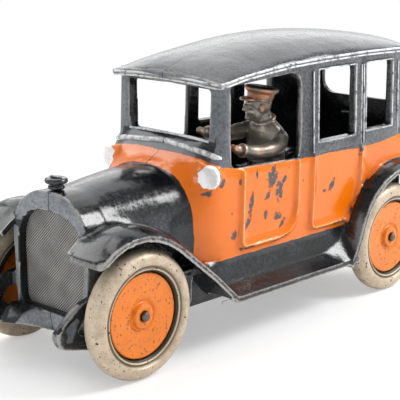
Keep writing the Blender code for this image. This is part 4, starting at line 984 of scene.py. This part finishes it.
def aluminium_paint():
    """Aluminium paint gone creamy, rubbed on the tread, with brown rust pits, olive dirt in the recess
    and painted shade in its groove.
    """
    made, where = new_material("aged_aluminium_paint")
    radius = add(made, "Attribute", {"attribute_name": "radius_mm"}, 2)
    fine = add(made, "TexNoise", Vector=where, Scale=1000 / 0.7, Detail=4.0, Roughness=0.6)
    cloud = add(made, "TexNoise", Vector=where, Scale=1000 / 5, Detail=4.0, Roughness=0.6)
    spots = add(made, "TexNoise", Vector=where, Scale=1000 / 1.5, Detail=2.0, Roughness=0.4)
    small_spots = add(made, "TexNoise", Vector=where, Scale=1000 / 0.6, Detail=2.0)
    colour = add(made, "Mix", COLOURS, 2, i0=fine, i6="a3927c", i7="e2d1ba")
    colour = stained(made, colour, "8a7a62", cloud, 0.45, 0.75, 0.6)
    # the recess inside the tread is olive with dirt, with a painted highlight on the bead between it and
    # painted shade in the groove
    bead = add(made, "Math", "COMPARE", i0=radius, i1=18.05, i2=0.3)
    inner = add(made, "Mix", COLOURS, 2, i0=bead, i6="6f6450", i7="bcb098")
    inner = stained(made, inner, "2b251d", radius, 17.75, 17.6)
    colour = stained(made, colour, inner, radius, 19.6, 19.2)
    colour = stained(made, colour, "5a4632", small_spots, 0.66, 0.72, 0.8)
    rust = add(made, "MapRange", Value=spots, From_Min=0.68, From_Max=0.71)
    colour = add(made, "Mix", COLOURS, 2, i0=rust, i6=colour, i7="40291a")
    relief = add(made, "Math", "MULTIPLY_ADD", i0=rust, i1=-1.4, i2=fine)
    return finish(made, colour, fine, (0.36, 0.58), 0.07, relief, metallic=0.3)


def orange_disc_enamel():
    """The body's orange enamel on the pressed discs, pitted with small rust spots."""
    made, where = new_material("orange_disc_enamel")
    radius = add(made, "Attribute", {"attribute_name": "radius_mm"}, 2)
    fine = add(made, "TexNoise", Vector=where, Scale=1000 / 0.8, Detail=4.0)
    cloud = add(made, "TexNoise", Vector=where, Scale=1000 / 7, Detail=3.0)
    spots = add(made, "TexNoise", Vector=where, Scale=1000 / 1.4, Detail=3.0, Roughness=0.6)
    colour = add(made, "Mix", COLOURS, 2, i0=cloud, i6="d86b04", i7="ea8212")
    ragged_edge = add(made, "Math", "MULTIPLY_ADD", i0=spots, i1=3.0, i2=radius)
    colour = stained(made, colour, "8a4420", ragged_edge, 17.6, 18.4, 0.75)
    rust = add(made, "MapRange", Value=spots, From_Min=0.59, From_Max=0.64, To_Max=0.85)
    colour = add(made, "Mix", COLOURS, 2, i0=rust, i6=colour, i7="7d4a2e")
    relief = add(made, "Math", "MULTIPLY_ADD", i0=rust, i1=-1.5, i2=fine)
    return finish(made, colour, fine, (0.26, 0.42), 0.05, relief)


aluminium = aluminium_paint()
disc_enamel = orange_disc_enamel()


def wheel_part(name, profile, sign, axle_y):
    """One ring of a wheel, whose outer face looks away from the cab."""
    turned = [(sign * along, radius) for along, radius in cut_corners(profile, 1, 0.22, closed=True)]
    made = lathe(name, turned, "x", (sign * WHEEL_X, axle_y, WHEEL_HEIGHT), 112, closed=True)
    points, _ = mesh_arrays(made.data)
    keep_on_mesh(made.data, "radius_mm", np.hypot(points[:, 1] - axle_y, points[:, 2] - WHEEL_HEIGHT))
    return made


for end, axle_y in (("front", 0.0), ("rear", REAR_AXLE_Y)):
    for side, sign in (("left", 1), ("right", -1)):
        wheel = end + "_" + side
        tyre = wheel_part("tyre_ring_" + wheel, TYRE_PROFILE, sign, axle_y)
        dress(tyre, aluminium, "tyre_paint", "wheel_" + wheel, "tyre_" + wheel)
        disc = wheel_part("wheel_disc_" + wheel, DISC_PROFILE, sign, axle_y)
        dress(disc, disc_enamel, "orange_enamel", "wheel_" + wheel, "disc_" + wheel)

# The studio.
# A white paper table and a white surround. Small hard-edged lamps give the black enamel its crisp
# lights, broad ones fill it, and the level is one at which a colour renders about as written.


def white_paper():
    """Matt white paper that fades to pure white away from the toy, where only its shadow would show."""
    made, where = new_material("white_paper")
    tooth = add(made, "TexNoise", Vector=where, Scale=1000 / 3, Detail=3.0)
    colour = add(made, "Mix", COLOURS, 2, i0=tooth, i6="fafafa", i7="ffffff")
    bump = add(made, "Bump", Distance=0.01 * MM, Height=tooth)
    paper = add(made, "BsdfPrincipled", Base_Color=colour, Roughness=0.95, Normal=bump,
                Specular_IOR_Level=0.2)
    glow = add(made, "Emission", Color="ffffff", Strength=1.0)
    away = add(made, "VectorMath", "LENGTH", "Value", i0=where)
    far = add(made, "MapRange", {"interpolation_type": "SMOOTHSTEP"}, Value=away, From_Min=0.15,
              From_Max=0.30)
    seen = add(made, "LightPath", None, "Is Camera Ray")
    lifted = add(made, "Math", "MAXIMUM", i0=far, i1=0.38)
    share = add(made, "Math", "MULTIPLY", i0=lifted, i1=seen)
    shader = add(made, "MixShader", i0=share, i1=paper, i2=glow)
    add(made, "OutputMaterial", Surface=shader)
    return made


TABLE = 3000
corners = [(TABLE * x, TABLE * y, 0) for x, y in ((-1, -1), (1, -1), (1, 1), (-1, 1))]
floor = new_object("floor", corners, [(0, 1, 2, 3)])
floor.data.materials.append(white_paper())


def soft_lamp(name, azimuth, height, distance, size, power):
    """An area lamp aimed at the cab; azimuth is degrees from the front, and height from the table."""
    turn, rise = math.radians(azimuth), math.radians(height)
    spot = Vector((math.sin(turn) * math.cos(rise), -math.cos(turn) * math.cos(rise), math.sin(rise)))
    spot *= distance
    light = bpy.data.lights.new(name, "AREA")
    light.shape = "RECTANGLE"
    light.size, light.size_y = size
    light.energy = power
    lamp = bpy.data.objects.new(name, light)
    bpy.context.collection.objects.link(lamp)
    lamp.location = spot
    lamp.rotation_euler = (Vector((0, 0, 0.05)) - spot).to_track_quat("-Z", "Y").to_euler()
    lamp.visible_camera = False


soft_lamp("side", 141.0, 44.0, 1.0, (0.42, 0.34), 8.4)
soft_lamp("far_side", -78.0, 44.0, 1.2, (0.6, 0.6), 4.6)
soft_lamp("overhead", -87.0, 71.0, 1.2, (0.42, 0.42), 2.3)
soft_lamp("front", 5.0, 26.0, 1.4, (0.5, 0.5), 2.6)
soft_lamp("behind", -142.0, 39.0, 1.6, (1.5, 1.5), 12.0)

world = bpy.data.worlds.new("studio")
world.use_nodes = True
world.node_tree.nodes.clear()
bpy.context.scene.world = world
seen = add(world, "LightPath", None, "Is Camera Ray")
mirrored = seen.node.outputs["Is Glossy Ray"]
seen_or_mirrored = add(world, "Math", "MAXIMUM", i0=seen, i1=mirrored)
seen_at_all = add(world, "Math", "MAXIMUM", i0=seen_or_mirrored,
                  i1=seen.node.outputs["Is Transmission Ray"])
# the white surround darkens overhead, which only reflections show
direction = add(world, "TexCoord", None, "Generated")
height = add(world, "SeparateXYZ", None, "Z", Vector=direction)
falling = add(world, "MapRange", Value=height, From_Min=0.25, From_Max=0.75, To_Min=1.0, To_Max=0.42)
whole = add(world, "Math", "MAXIMUM", i0=falling, i1=seen)
dim = add(world, "Background", Color="ffffff", Strength=0.5)
white = add(world, "Background", Color="ffffff", Strength=whole)
choose = add(world, "MixShader", i0=seen_at_all, i1=dim, i2=white)
add(world, "OutputWorld", Surface=choose)

# The camera.
# It stands at the photograph's own angle and distance, ahead of the cab and to its left, with a long
# lens. The three directions are its own, fitted to points on the wheels, body and roof.

camera = bpy.data.cameras.new("photograph")
camera.sensor_width = 36.0
camera.lens = 109.62
viewer = bpy.data.objects.new("photograph", camera)
bpy.context.collection.objects.link(viewer)
right = Vector((0.72467767, 0.68900802, 0.01049908))
above = Vector((-0.17136302, 0.16543501, 0.97121881))
ahead = Vector((-0.66744063, 0.70561973, -0.23795755))
facing = Matrix((right, above, -ahead)).transposed().to_4x4()
viewer.matrix_world = Matrix.Translation(place(346.0005, -297.4232, 174.7174)) @ facing
bpy.context.scene.camera = viewer
bpy.context.scene.view_settings.view_transform = "Standard"
